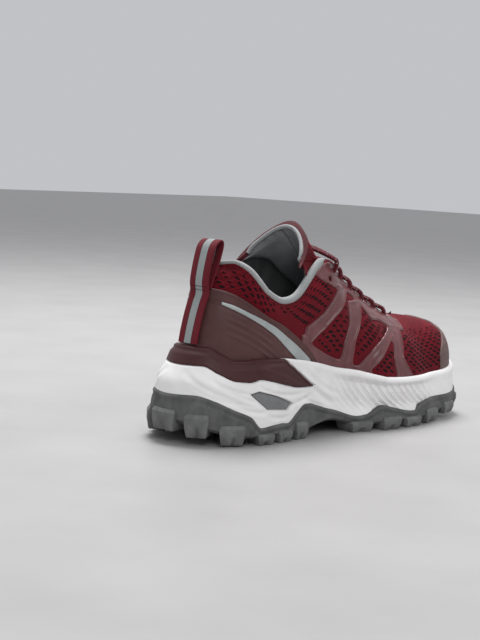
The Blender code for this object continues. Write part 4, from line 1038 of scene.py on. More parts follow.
def segment_distance(s, z, ends):
    """Distance to a gently bowed line between two spots on the side."""
    (s0, z0), (s1, z1) = ends
    ds, dz = s1 - s0, z1 - z0
    t = np.clip(((s - s0) * ds + (z - z0) * dz) / (ds * ds + dz * dz), 0, 1)
    bow = 0.06 * math.hypot(ds, dz) * 4 * t * (1 - t)
    return np.hypot(s - s0 - t * ds, z - z0 - t * dz + bow), t


def foam_relief(rib, height):
    """The foam's carved creases and soft planes, off its plain side."""
    s = rib.share * RIB_STEP
    relief = np.zeros(np.broadcast(s, height).shape)
    for s0, z0, s1, z1, depth, width in FOAM_CREASES:
        ends = ((s0 * RIB_STEP, z0 * HEEL_STACK), (s1 * RIB_STEP, z1 * HEEL_STACK))
        away, t = segment_distance(s, height, ends)
        fade = np.sin(math.pi * np.clip(t, 0.04, 0.96)) ** 0.5
        relief -= depth * MM * fade * np.exp(-((away / (width * MM)) ** 2))
        relief += 0.35 * depth * MM * fade * hump(away, 2.2 * width * MM, width * MM)
    heel = 1 - smooth_step(0.10, 0.20, rib.share)
    relief += 1.2 * MM * heel * hump(height, 1.25 * HEEL_STACK, 6 * MM)
    toe = smooth_step(0.77, 0.86, rib.share)
    groove = SIDE_LINES.at("foxing", rib.share) * 0.45 + SIDE_LINES.at("rim", rib.share) * 0.55
    relief -= 0.6 * MM * toe * hump(height, groove * HEEL_STACK, 1.3 * MM)
    return relief


def window_plug(name, side, rings, finishes):
    """A block on the window's outline, in rings of (growth, depth in mm) from the foam's side."""
    share, height = np.array(WINDOW).T * ((1,), (HEEL_STACK,))
    points = []
    for grow, depth in rings:
        rib = Ribs(turn_of(side, share.mean() + (share - share.mean()) * grow))
        z = height.mean() + (height - height.mean()) * grow
        points.append(rib.place(body_radius(rib, z, False) - depth * MM, z))
    return shoe_mesh(name, np.vstack(points), tube_faces(len(rings), len(WINDOW)), finishes, sharp=20)


ROUND_COUNT = 520  # ribs round the sole's meshes
FOAM_LOW_ROWS, FOAM_HIGH_ROWS = 34, 24  # rows on the foam's side, below and above the clip's lower edge
FOAM_LIP = 2.6 * MM
CLIP_SEAT = 3 * MM
WINDOW_CUT = ((1.16, -3.0), (1.10, -0.2), (1.0, 0.9), (0.94, WINDOW_DEPTH / MM + 0.5))
WINDOW_PANEL = ((0.90, 3.6), (0.93, 2.2), (0.88, 1.6), (0.30, 1.0))


def foam_side(rib, start, top):
    """Radius and height of the rows on the foam's side, with its rim lip and the seat of the clip."""
    low, high = side_line("wing_low", rib), side_line("wing_high", rib)
    lower = np.linspace(0, 1, FOAM_LOW_ROWS)[None, :]
    upper = np.linspace(0, 1, FOAM_HIGH_ROWS + 1)[None, 1:]
    height = np.concatenate([start + lower * (low - start), low + upper * (top - low)], axis=1)
    radius = body_radius(rib, height) + foam_relief(rib, height)
    near_top = np.clip((top - height) / FOAM_LIP, 0, 1)
    rounding = 0.9 * MM * (1 - np.sqrt(1 - (1 - near_top) ** 2))
    radius = radius - np.where(rib.share < WING_START, 0.0, rounding)
    radius = radius + 0.6 * MM * (rib.share > CLIP_END) * hump(height, top - 3.2 * MM, 2.6 * MM)
    seat = smooth_step(-0.5, 0.5, (height - low - 0.1 * MM) / MM) * smooth_step(-0.5, 0.5, (high - height) / MM)
    wing = (rib.share < CLIP_END + 0.006) & (high > low + 0.5 * MM)
    radius = radius - np.where(wing, CLIP_SEAT * seat, 0.0)
    return radius - 0.8 * MM * (1 - smooth_step(0, 1.2 * MM, height - start)), height


def foam_section(rib):
    """The foam's whole section in each rib, from the middle of its underside round to the middle of its footbed."""
    start = side_line("foxing", rib) - 1.5 * MM
    top = np.where(rib.share < WING_START, side_line("wing_low", rib), side_line("rim", rib))
    radius, height = foam_side(rib, start, top)
    edge = radius[:, :1]
    bottom = [(r, plate_top(rib.plan_x(r))) for r in (0.0 * edge, 0.35 * edge, 0.7 * edge, edge - OUTSOLE_WALL)]
    bottom.append((edge - 2.4 * MM, start + 0 * edge))
    wall_r = upper_profile(rib, share_up(rib, top))[0] + GAP
    foot_r, foot_z = upper_profile(rib, 0.0)
    cup = np.minimum((foot_z + top) / 2, top - 1 * MM)
    inner = [
        (wall_r + 0.25 * (radius[:, -1:] - wall_r), top), (wall_r, top - 0.5 * MM),
        (upper_profile(rib, share_up(rib, cup))[0] + GAP, cup), (foot_r + GAP, foot_z - GAP),
        (0.55 * foot_r, footbed(rib.plan_x(0.55 * foot_r))), (0.0 * foot_r, footbed(rib.x)),
    ]
    parts = bottom + [(radius, height)] + inner
    return np.concatenate([rib.place(r, z).reshape(len(edge), -1, 3) for r, z in parts], axis=1)


def make_foam(looks):
    """The white midsole: fluted scoop, creases, windows, rim lip, clip seat and footbed."""
    points = foam_section(Ribs(np.linspace(0, 2, ROUND_COUNT, endpoint=False)[:, None]))
    faces = grid_faces(*points.shape[:2], loop_rows=True)
    made = shoe_mesh("foam_midsole", points.reshape(-1, 3), faces, [looks["foam"]])
    cutters = [window_plug("window_cutter_" + name, side, WINDOW_CUT, []) for name, side in SIDES.items()]
    for cutter in cutters:
        fixed(made, ("BOOLEAN", {"operation": "DIFFERENCE", "solver": "EXACT", "object": cutter}))
    fixed(made, ("WELD", {"merge_threshold": 0.02 * MM}), ("TRIANGULATE", {"min_vertices": 5}))
    for cutter in cutters:
        bpy.data.objects.remove(cutter)
    made.data.shade_smooth()
    made.data.set_sharp_from_angle(angle=math.radians(38))
    settle(made, "white_foam", "midsole")
    for name, side in SIDES.items():
        panel = window_plug("window_panel_" + name, side, WINDOW_PANEL, [looks["insert"]])
        settle(panel, "grey_rubber", "window_insert_" + name)


# Lugs on the sole's edge: the shares of both ends
EDGE_LUGS = (
    (0.045, 0.088),
    (0.107, 0.160),
    (0.192, 0.240),
    (0.254, 0.296),
    (0.308, 0.345),
    (0.472, 0.525),
    (0.552, 0.606),
    (0.625, 0.680),
    (0.702, 0.760),
    (0.785, 0.835),
    (0.862, 0.910),
)
# Lugs in the tread's middle: place over the shoe's length, width over the ball's, and which way they point
CHEVRON_LUGS = (
    (0.115, 0.22, 1),
    (0.200, 0.26, 1),
    (0.530, 0.26, -1),
    (0.610, 0.34, -1),
    (0.690, 0.36, -1),
    (0.770, 0.34, -1),
    (0.850, 0.26, -1),
)
CHEVRON_LENGTH = 9 * MM
# Rings of an edge lug, from its tread up: height share, then in mm how far it draws in along the edge, how proud
# it is of the sole's side and how deep it reaches under the sole
LUG_RINGS = (
    (0.0, 1.9, 0.9, 11.2),
    (0.05, 1.5, 1.7, 12.0),
    (0.45, 0.7, 3.0, 12.8),
    (0.84, 0.1, 3.0, 13.2),
    (0.98, 0.7, 1.6, 13.2),
    (1.10, 1.6, -2.5, 13.2),
)
LUG_ACROSS = 9
END_LUG = 0.028  # half width in share of the lugs at the heel's and the toe's middle


def lug_top(rib):
    """How far up the rubber's side a lug climbs."""
    low = plate_bottom(rib.plan_x(sole_radius(rib)))
    return low + np.maximum(2.6 * MM, 0.42 * (side_line("foxing", rib) - low))


def edge_lug(name, first, last, look):
    """A lug on the sole's edge: a tapered block with a notch in its tread, climbing the side."""
    across = np.linspace(-0.5, 0.5, LUG_ACROSS)
    middle = (first + last) / 2
    centre = Ribs(middle)
    ground = float(ground_rise(centre.plan_x(sole_radius(centre) - LUG_WIDTH / 2)))
    top = float(lug_top(centre))
    rings = []
    for up, inset, proud, inner in LUG_RINGS:
        rib = Ribs(middle + across * (last - first - 2 * inset * MM / RIB_STEP))
        height = ground + up * (top - ground)
        edge = sole_radius(rib)
        side = np.where(height > plate_top(rib.plan_x(edge)), body_radius(rib, height, False), edge)
        notch = hump(across, 0, 0.10) * (up < 0.3)
        radius = side + proud * MM - 2.0 * MM * notch * (1 - up)
        z = height + 1.8 * MM * notch * (up > 0)
        inner_r = edge - inner * MM
        inner_z = np.minimum(z, plate_bottom(rib.plan_x(inner_r)) + 1 * MM)
        rings.append(np.vstack([rib.place(radius, z), rib.place(inner_r, inner_z)[::-1]]))
    made = shoe_mesh(name, np.vstack(rings), tube_faces(len(rings), 2 * LUG_ACROSS), [look], weld=1e-6)
    return fixed(made, ("BEVEL", {"width": 0.35 * MM, "segments": 2, "angle_limit": math.radians(40)}))


def chevron_lug(name, along, width, back, look):
    """A low V-shaped lug in the middle of the tread."""
    x, half = along * SHOE_LENGTH, width * BALL_WIDTH / 2
    y = TOE_SWING * max(0.0, (x - HEEL_CENTRE) / (TOE_CENTRE - HEEL_CENTRE))
    sweep, arm = back * 0.45 * half, 0.5 * CHEVRON_LENGTH
    corners = np.array([
        (x - sweep - arm, y), (x - arm, y - half), (x + arm, y - half),
        (x - sweep + arm, y), (x + arm, y + half), (x - arm, y + half),
    ])
    middle = np.array((x - sweep * 0.5, y))
    inward = unit(middle - corners)
    ground = float(ground_rise(middle[0]))
    tip = np.column_stack([corners + inward * 1.6 * MM, np.full(6, ground)])
    root = np.column_stack([corners, plate_bottom(corners[:, 0]) + 0.6 * MM])
    points = np.vstack([tip, root]) - (SHOE_LENGTH / 2, 0, 0)
    made = shoe_mesh(name, points, tube_faces(2, 6), [look], weld=1e-6)
    return fixed(made, ("BEVEL", {"width": 0.4 * MM, "segments": 2, "angle_limit": math.radians(30)}))


def rubber_section(rib):
    """The rubber cup's section in each rib: the raised edge line, its side, the tread and the plate's top."""
    line = side_line("foxing", rib)
    edge = sole_radius(rib)
    height = line + 0.4 * MM + np.linspace(0, 1, 22)[None, :] * (plate_top(rib.plan_x(edge)) - 1.5 * MM - line)
    drop = (line - height) / MM
    rounding = np.exp(-((np.clip(drop + 0.4, 0, 9) / 0.55) ** 2))
    relief = 0.9 * (1 - rounding) + 0.45 * hump(drop, 1.6, 0.9) - 0.5 * hump(drop, 4.2, 1.2)
    parts = [
        (body_radius(rib, line, False) - 2.2 * MM, line + 0.3 * MM),
        (body_radius(rib, height, False) + relief * MM, height),
    ]
    for inset, sink in ((-0.1, 0.55), (1.1, 0.92), (2.5, 1.0)):
        r = edge - inset * MM
        parts.append((r, plate_top(rib.plan_x(r)) - sink * PLATE_THICKNESS))
    parts += [(s * edge, plate_bottom(rib.plan_x(s * edge))) for s in (0.8, 0.6, 0.4, 0.2, 0.0)]
    parts += [(s * edge, plate_top(rib.plan_x(s * edge)) - 0.4 * MM) for s in (0.0, 0.5, 0.85)]
    return np.concatenate([rib.place(r, z).reshape(len(edge), -1, 3) for r, z in parts], axis=1)


def make_rubber(looks):
    """The outsole: a rubber cup with a raised edge line, its tread plate and all its lugs."""
    points = rubber_section(Ribs(np.linspace(0, 2, ROUND_COUNT, endpoint=False)[:, None]))
    faces = grid_faces(*points.shape[:2], loop_rows=True, loop_across=True)
    # The cup takes the darker copy of the rubber, painted shade; the lugs take the lighter copy, wear and painted
    # light.
    pieces = [shoe_mesh("rubber_cup", points.reshape(-1, 3), faces, [looks["rubber"]])]
    for i, (first, last) in enumerate(EDGE_LUGS):
        pieces.append(edge_lug(f"lug_lateral_{i}", first, last, looks["lug"]))
        pieces.append(edge_lug(f"lug_medial_{i}", 2 - last, 2 - first, looks["lug"]))
    for name, middle in (("lug_heel", 0), ("lug_toe", 1)):
        pieces.append(edge_lug(name, middle - END_LUG, middle + END_LUG, looks["lug"]))
    for i, row in enumerate(CHEVRON_LUGS):
        pieces.append(chevron_lug(f"lug_middle_{i}", *row, looks["rubber"]))
    settle(joined("rubber_outsole", pieces, sharp=32), "grey_rubber", "outsole")


def make_clip(looks):
    """The heel clip: a moulded band with a rolled top edge and two soft facets, ending in a pointed wing."""
    turns = np.linspace(-CLIP_END, CLIP_END, 420)
    rib = Ribs(turns[:, None])
    low, high = side_line("wing_low", rib) + 0.5 * GAP, side_line("wing_high", rib) + 0.1 * GAP
    f = np.linspace(0, 1, 26)[None, :]
    height = low + f * (high - low)
    tall = (high - low) / (0.4 * HEEL_STACK)
    ridge = 0.56 - 0.34 * smooth_step(0.16, 0.34, rib.share)
    facet = 1 - abs(f - ridge) / np.where(f < ridge, ridge, 1 - ridge)
    radius = body_radius(rib, height) + 0.3 * MM + 1.1 * MM * np.clip(tall, 0, 1) * facet**1.4
    from_top, from_low = (high - height) / MM, (height - low) / MM
    radius = radius + 0.55 * MM * hump(from_top, 1.1, 0.8) - 0.35 * MM * hump(from_top, 3.0, 1.0)
    radius = radius - 0.8 * MM * (np.exp(-((from_top / 0.45) ** 2)) + np.exp(-((from_low / 0.5) ** 2)))
    dip = smooth_step(0.20, 0.27, rib.share) * (1 - smooth_step(0.31, 0.35, rib.share))
    radius = radius - 0.9 * MM * dip * hump(f, 0.42, 0.16)
    down = height[:, ::-1]
    on_upper = upper_profile(rib, share_up(rib, down))[0] + GAP
    back = np.where(rib.share < WING_START, on_upper, body_radius(rib, down) - CLIP_THICKNESS)
    points = np.concatenate([rib.place(radius, height), rib.place(back, down)], axis=1)
    faces = tube_faces(*points.shape[:2])
    made = shoe_mesh("moulded_heel_clip", points.reshape(-1, 3), faces, [looks["clip"]], sharp=50)
    settle(made, "maroon_clip", "heel_clip")


# --- upper -------------------------------------------------------------------------------------------

def eyelet_centres(side):
    """The middles of one side's eyelets, the spare one last."""
    centres = []
    for share, row in EYELETS + (SPARE_EYELET,):
        v = row_share(side, share, row)
        centres.append(upper_point(np.array(turn_of(side, share)), np.array(v))[0])
    return centres


ALL_EYELETS = eyelet_centres(LATERAL) + eyelet_centres(MEDIAL)


def hole_distance(turn, v):
    """Distance to the nearest eyelet's edge on the upper."""
    spot = plain_point(turn, v)
    return np.minimum.reduce([np.linalg.norm(spot - centre, axis=-1) for centre in ALL_EYELETS]) - EYELET_RADIUS


def rib_turns(rib):
    """The turns that these ribs stand at."""
    return np.where(rib.side == LATERAL, rib.share, 2 - rib.share)


SHELL_TURNS, SHELL_ROWS = 601, 74


def make_shell(looks):
    """The upper's wall with its eyelet holes: mesh outside, lining inside."""
    turn, v = np.meshgrid(np.linspace(0, 2, SHELL_TURNS), np.linspace(0, 1, SHELL_ROWS), indexing="ij")
    depth = -hole_distance(turn, v)
    keep = np.maximum.reduce([depth[:-1, :-1], depth[1:, :-1], depth[1:, 1:], depth[:-1, 1:]]) < 0.6 * MM
    points, _ = upper_point(turn, v)
    faces = np.array(grid_faces(SHELL_TURNS, SHELL_ROWS))[keep.ravel()]
    made = shoe_mesh("mesh_upper", points.reshape(-1, 3), faces, [looks["mesh"], looks["lining"]])
    settings = {"thickness": UPPER_WALL, "offset": -1, "material_offset": 1, "material_offset_rim": 0}
    fixed(made, ("SOLIDIFY", settings))
    made.data.shade_smooth()
    settle(made, "red_mesh", "upper")


def eyelet_ring(rib, v):
    """A raised ring round each eyelet, and two round the spare one."""
    spot = plain_point(rib_turns(rib), v)
    rise = np.zeros(spot.shape[:-1])
    for i, centre in enumerate(ALL_EYELETS):
        away = np.linalg.norm(spot - centre, axis=-1) / MM
        if i % (len(EYELETS) + 1) == len(EYELETS):
            rise = rise + 0.7 * hump(away, 4.4, 0.55) + 0.5 * hump(away, 2.5, 0.45)
        else:
            rise = rise + 0.6 * hump(away, 3.0, 0.6)
    return rise * MM


def make_cages(looks):
    """The fused cage on each side: eyestay and four legs with raised edges."""
    def outline(rib, v):
        return np.maximum(cage_distance(rib, v), -hole_distance(rib_turns(rib), v))

    def lift(rib, v, deep):
        edge = -cage_distance(rib, v)
        raised = 0.55 * hump(edge, 1.5 * MM, 0.55 * MM) - 0.2 * hump(edge, 3.4 * MM, 1.2 * MM)
        return rolled(deep, FILM, 0.6 * MM) + raised * MM + eyelet_ring(rib, v)

    for name, side in SIDES.items():
        turn, v = film_rows(np.linspace(turn_of(side, 0.326), turn_of(side, 0.716), 210), 130)
        made = cut_sheet(f"film_cage_{name}", turn, v, outline, lift, looks["film"], 1.3 * MM)
        settle(made, "mauve_film", f"cage_{name}")


def stripe_distance(rib, v):
    """How far outside the reflective stripe's edge a spot on the upper is."""
    height = upper_profile(rib, v)[1]
    low, top = (COUNTER.at(edge, rib.share) * COLLAR_HEIGHT for edge in ("stripe_low", "stripe_top"))
    ends = np.maximum(STRIPE_FROM - rib.share, rib.share - STRIPE_TO) * RIB_STEP
    return np.maximum(np.maximum(low - height, height - top), ends)


COUNTER_RIBS = (7.5 * MM, 12.5 * MM, 17.5 * MM)  # how far below the stripe the counter's soft ribs run


def counter_relief(rib, v):
    """The counter's raised outer band, the stripe's bed and three soft ribs that follow it."""
    height = upper_profile(rib, v)[1]
    top, stripe_top, stripe_low = (
        COUNTER.at(edge, rib.share) * COLLAR_HEIGHT for edge in ("top", "stripe_top", "stripe_low")
    )
    band = smooth_step(-0.6 * MM, 0.6 * MM, height - stripe_top - 0.4 * MM)
    below = stripe_low - height
    relief = 0.55 * band + 0.35 * hump(top - height, 1.4 * MM, 0.7 * MM) - 0.35 * hump(below, 1.0 * MM, 0.9 * MM)
    panel = smooth_step(0.095, 0.135, rib.share) * (1 - smooth_step(0.235, 0.275, rib.share))
    for down in COUNTER_RIBS:
        relief = relief + 0.5 * panel * hump(below, down, 1.1 * MM)
    return relief * MM


def make_counter(looks):
    """The moulded heel counter and the reflective stripe on each of its sides."""
    def lift(rib, v, deep):
        return rolled(deep, FILM + 0.35 * MM, 0.8 * MM) + counter_relief(rib, v)

    def stripe_lift(rib, v, deep):
        return FILM + 0.47 * MM + rolled(deep, 0.4 * MM, 0.5 * MM)

    turn, v = film_rows(np.linspace(-COUNTER_END - 0.008, COUNTER_END + 0.008, 380), 96, 0.93)
    made = cut_sheet("moulded_counter", turn, v, counter_distance, lift, looks["counter"], 1.5 * MM)
    settle(made, "mauve_film", "heel_counter")
    for name, side in SIDES.items():
        turns = np.linspace(turn_of(side, STRIPE_FROM - 0.004), turn_of(side, STRIPE_TO + 0.004), 170)
        turn, v = film_rows(turns, 110, 0.9)
        band = f"reflective_band_{name}"
        made = cut_sheet(band, turn, v, stripe_distance, stripe_lift, looks["stripe"], 0.8 * MM)
        settle(made, "grey_reflective", f"reflective_stripe_{name}")


def make_toe_cap(looks):
    """The grained toe cap, with a groove inside its edge."""
    def lift(rib, v, deep):
        return rolled(deep, TOE_CAP, 1.0 * MM) - 0.5 * MM * hump(deep, 3.2 * MM, 0.7 * MM)

    turn, v = film_rows(np.linspace(TOE_CAP_FROM - 0.004, 2.004 - TOE_CAP_FROM, 300), 90, 0.8)
    made = cut_sheet("toe_bumper", turn, v, toe_cap_distance, lift, looks["toe"], 1.8 * MM)
    settle(made, "mauve_film", "toe_cap")


def collar_line(turns):
    """The middle of the collar's edge, the way up out of it and the way out of the wall."""
    edge, normal = upper_point(turns, np.ones_like(turns))
    below, _ = upper_point(turns, np.full_like(turns, 0.95))
    return edge - normal * UPPER_WALL / 2, unit(edge - below), normal


def make_binding(looks):
    """The soft grey roll on the collar's edge, thicker towards the eyestay, its ends tucked in, and its stitches."""
    turns = np.linspace(-BINDING_END, BINDING_END, 260)
    edge, up, normal = collar_line(turns)
    tuck = 1 - 0.75 * smooth_step(0.405, BINDING_END, abs(turns))
    grow = 1 + 0.75 * smooth_step(0.10, 0.38, abs(turns))
    half_width, half_height = 1.7 * MM * tuck * grow, 2.5 * MM * tuck
    made = swept("collar_roll", edge + up * MM, normal, half_width, half_height, 16, looks["binding"])
    settle(made, "grey_lining", "collar_binding")
    sewn = turns[10:-10]
    seam, facing = upper_point(sewn, np.full_like(sewn, 0.962), 0.1 * MM)
    stitch_row("collar_stitches", seam, facing, 1.7 * MM, looks["stitch"], 2.4 * MM)


# The tongue's rows from its root to its top: places and sizes over the shoe's own sizes
TONGUE = Table("row along height half curl thick", (
    (0, 0.765, 0.575, 0.120, 0.020, 0.30),
    (1, 0.715, 0.625, 0.150, 0.035, 0.34),
    (2, 0.650, 0.705, 0.185, 0.055, 0.40),
    (3, 0.580, 0.800, 0.195, 0.075, 0.50),
    (4, 0.510, 0.920, 0.198, 0.090, 0.60),
    (5, 0.455, 1.030, 0.206, 0.112, 0.80),
    (6, 0.432, 1.112, 0.226, 0.185, 1.00),
    (7, 0.412, 1.188, 0.270, 0.320, 1.00),
    (8, 0.394, 1.242, 0.300, 0.350, 0.75),
))


def tongue_bow(key, a):
    """How far round its curl the tongue is at this share of its half width, and how steep it is there."""
    arch = np.sqrt(1 - TONGUE_ARCH * np.clip(a * a, 0, 1.02))
    depth = 1 - math.sqrt(1 - TONGUE_ARCH)
    free = np.clip((key - 5) / 1.5, 0, 1)
    bow = a * a + free * ((1 - arch) / depth - a * a)
    slope = 2 * a + free * (TONGUE_ARCH * a / (arch * depth) - 2 * a)
    return bow, slope


def tongue_frame(key, a):
    """A spot on the tongue's outer face, the way in from it and the tongue's thickness there."""
    zero = np.zeros_like(key)

    def middle(k):
        along, height = TONGUE.at("along", k) - 0.5, TONGUE.at("height", k)
        return np.stack([along * SHOE_LENGTH, zero, height * INSTEP_HEIGHT], axis=-1)

    tangent = unit(middle(np.minimum(key + 0.2, 8)) - middle(np.maximum(key - 0.2, 0)))
    outward = np.stack([tangent[..., 2], zero, -tangent[..., 0]], axis=-1)
    half, curl = TONGUE.at("half", key) * BALL_WIDTH, TONGUE.at("curl", key) * BALL_WIDTH
    trim = TONGUE_TRIM * np.maximum(0.0, (key - 4) / 4) ** 2
    bow, slope = tongue_bow(key, a)
    spot = middle(key) - outward * (curl * bow)[..., None] - tangent * (trim * a * a)[..., None]
    spot = spot + np.stack([zero, a * half, zero], axis=-1)
    inward = -unit(outward + np.stack([zero, 0.8 * slope * curl / half, zero], axis=-1))
    return spot, inward, TONGUE.at("thick", key) * TONGUE_THICKNESS * (1 - 0.45 * a * a)


TONGUE_ROWS, TONGUE_ACROSS = 90, 56
BAND_SEAM = 7.12  # row of the seam under the tongue's plain top band
PIPED_A, PIPED_KEY = 0.92, 7.74  # where the lining ends at the piping, over the half width and in rows
TONGUE_LIFT = (3.5, 5.5)  # rows between which the tongue comes free of the throat


def tongue_quilt(key, a):
    """How far the tongue's soft quilting stands out."""
    return 0.5 * MM * smooth_step(*TONGUE_LIFT, key) * np.cos(math.pi * 2.5 * a)


def tongue_slots(keys, spots):
    """Finish of each face: 0 mesh, 1 lining, 2 the plain top band, which turns over the edge to the piping."""
    slots = []
    for key in keys[:-1]:
        for j in range(2 * TONGUE_ACROSS):
            a = spots[2 * TONGUE_ACROSS - 1 - j] if j >= TONGUE_ACROSS else 1.0
            turned = abs(a) >= PIPED_A and key > (7.2 if a > 0 else 5.0)
            lined = j >= TONGUE_ACROSS and key < PIPED_KEY and not turned
            slots.append(1 if lined else (2 if key > 7.2 else 0))
    return slots + [0, 2]


def make_tongue(looks):
    """The padded tongue: mesh outside with a plain band at its top, grey lining with its seam inside."""
    keys, spots = np.linspace(0, 8, TONGUE_ROWS), np.linspace(-1, 1, TONGUE_ACROSS)
    key, a = np.meshgrid(keys, spots, indexing="ij")
    spot, inward, thick = tongue_frame(key, a)
    free = smooth_step(*TONGUE_LIFT, key)
    end = np.sqrt(np.clip(1 - np.clip((key - 7.6) / 0.42, 0, 1) ** 2, 0.02, 1))
    side = np.sqrt(np.clip(1 - np.clip((abs(a) - 0.88) / 0.125, 0, 1) ** 2, 0.03, 1))
    half = thick / 2 * end * side
    outer = half + tongue_quilt(key, a) * (1 - hump(key, 7.25, 0.12)) - 0.6 * MM * hump(key, 7.25, 0.09) * free
    seam = 0.30 - 0.42 * (8 - key) / 4
    groove = 1.6 * MM * hump(a, seam, 0.045) * free
    gather = 0.35 * MM * smooth_step(6.6, 7.6, key) * np.sin(a * 34) * smooth_step(seam, seam + 0.2, a)
    inner = half + MM * free * np.cos(math.pi * a / 2) - groove + gather
    centre = spot + inward * (thick / 2)[..., None]
    faces_out, faces_in = centre - inward * outer[..., None], centre + inward * inner[..., None]
    points = np.concatenate([faces_out, faces_in[:, ::-1]], axis=1).reshape(-1, 3)
    finishes = [looks["mesh"], looks["tongue_lining"], looks["plain"]]
    faces = tube_faces(TONGUE_ROWS, 2 * TONGUE_ACROSS)
    made = shoe_mesh("padded_tongue", points, faces, finishes, tongue_slots(keys, spots))
    settle(made, "red_mesh", "tongue")
    make_piping(looks)
    band = np.linspace(-0.9, 0.9, 80)
    spot, inward, _ = tongue_frame(np.full_like(band, BAND_SEAM), band)
    stitch_row("tongue_stitches", spot, -inward, 1.6 * MM, looks["stitch"], 2.3 * MM)


def make_piping(looks):
    """The grey piping where the tongue's outer cloth turns over to its lining."""
    path = [(key, -PIPED_A) for key in np.linspace(4.9, 7.56, 30)]
    path += [(PIPED_KEY, a) for a in np.linspace(-0.84, 0.84, 40)]
    path += [(key, PIPED_A) for key in np.linspace(7.56, 7.36, 5)]
    key, a = np.array(path).T
    spot, inward, thick = tongue_frame(key, a)
    sunk = thick + 0.6 * MM * np.cos(math.pi * a / 2)
    line = along_curve((spot + inward * sunk[:, None])[::3], 200)
    facing = unit(along_curve(inward[::3], 200))
    settle(swept("tongue_piping", line, facing, 1.8 * MM, 1.5 * MM, 12, looks["binding"]), "grey_lining")


# Where the tongue's lining meets the upper's wall: row of the tongue and share
WING_KEYS, WING_SHARES = (3.6, 5.0, 6.2, 7.75), (0.590, 0.480, 0.415, 0.368)


def make_tongue_wings(looks):
    """The tongue's cloth carried down on both sides to the upper's inner wall, lining inside and mesh outside."""
    rows, across = 50, 26
    key = np.linspace(WING_KEYS[0], WING_KEYS[-1], rows)
    share = np.interp(key, WING_KEYS, WING_SHARES)
    s = np.linspace(0, 1, across)[None, :, None]
    fold = 0.5 * MM * np.sin(key * 9)[:, None] * np.sin(math.pi * s[..., 0])
    pieces = []
    for side in SIDES.values():
        edge, inward, thick = tongue_frame(key, np.full(rows, side * 0.94))
        edge = edge + inward * (0.6 * thick)[:, None]
        high, _ = upper_point(turn_of(side, share), np.full(rows, 0.90), -UPPER_WALL - 1.0 * MM)
        low, _ = upper_point(turn_of(side, share), np.full(rows, 0.62), -UPPER_WALL - 1.6 * MM)
        sheet = (1 - s) ** 2 * edge[:, None] + 2 * s * (1 - s) * high[:, None] + s**2 * low[:, None]
        sheet = (sheet + fold[..., None] * np.array((0, -side, 0))).reshape(-1, 3)
        finishes = [looks["lining"], looks["mesh"]]
        made = shoe_mesh(f"wing_{side}", sheet, grid_faces(rows, across), finishes, outward=False)
        fixed(made, ("SOLIDIFY", {"thickness": 1.2 * MM, "offset": 0}))
        for face in made.data.polygons:
            face.material_index = int(face.normal.y * side > 0.05)
        pieces.append(made)
    settle(joined("tongue_wings", pieces), "grey_lining")


# The insole's rounded edge: how far in from its rim and over its underside, in thicknesses
INSOLE_EDGE = ((2.2, 1.02), (0.9, 1.10), (0.1, 1.3), (0.0, 0.4), (0.3, 0.0))


def make_insole(looks):
    """The insole: a cloth-topped plate with a raised, rounded edge."""
    rib = Ribs(np.linspace(0, 2, 240, endpoint=False)[:, None])
    edge = upper_profile(rib, 0.06)[0] - UPPER_WALL - INSOLE_CLEARANCE
    middle, thick = 0.55 * edge, INSOLE_THICKNESS
    floor = lambda radius: footbed(rib.plan_x(radius)) + 2 * GAP
    section = [(0.0 * edge, floor(0.0 * edge) + thick), (middle, floor(middle) + thick)]
    for inset, rise in INSOLE_EDGE:
        section.append((edge - inset * thick, floor(edge) + rise * thick))
    section += [(middle, floor(middle)), (0.0 * edge, floor(0.0 * edge))]
    points = np.stack([rib.place(r, z).reshape(-1, 3) for r, z in section], axis=1)
    faces = grid_faces(*points.shape[:2], loop_rows=True)
    settle(shoe_mesh("cloth_insole", points.reshape(-1, 3), faces, [looks["insole"]]), "grey_lining", "insole")


# --- laces and pull tab ---------------------------------------------------------------------------

def tongue_height(x):
    """Height of the tongue's outer face at this place along the shoe."""
    key = np.linspace(0, 8, 200)
    along = TONGUE.at("along", key) * SHOE_LENGTH - SHOE_LENGTH / 2
    return float(np.interp(-x, -along, TONGUE.at("height", key))) * INSTEP_HEIGHT


def on_stay(side, share, v, lift):
    """A spot off the upper's face by the eyestay, and the way that the face looks there."""
    spot, normal = upper_point(np.array([turn_of(side, share)]), np.array([v]), lift)
    return spot[0], normal[0]


def lace_cord(name, spots, count, look):
    """One flat lace through these spots, each with the way its flat side faces."""
    line = along_curve([spot for spot, _ in spots], count)
    ups = unit(along_curve([up for _, up in spots], count))
    return swept(name, line, ups, LACE_WIDTH / 2, LACE_HEIGHT / 2, 12, look, squareness=2.4)


def lace_run(side, first, second):
    """One run from out of an eyelet, over the throat's edge and the tongue, under the far edge to the next eyelet."""
    v1, v2 = row_share(side, *first), row_share(-side, *second)
    toward = 0.22 * (second[0] - first[0])
    rest = FILM + 0.5 * LACE_HEIGHT + 0.3 * MM
    near, far = on_stay(side, first[0] + toward, 0.995, rest), on_stay(-side, second[0] - toward, 0.995, 0.3 * MM)
    middle = (near[0] + far[0]) / 2
    middle[2] = max(tongue_height(middle[0]) + 0.75 * LACE_HEIGHT, middle[2] + 0.8 * MM)
    return [
        on_stay(side, first[0], v1, -4.5 * MM),
        on_stay(side, first[0], v1, -0.5 * MM),
        on_stay(side, first[0] + 0.3 * toward, v1 + 0.35 * (1 - v1), rest + 0.6 * MM),
        near,
        (middle, np.array((-0.45, 0.0, 0.9))),
        far,
        on_stay(-side, second[0] - 0.3 * toward, v2 + 0.4 * (1 - v2), -3.6 * MM),
        on_stay(-side, second[0], v2, -4.5 * MM),
    ]


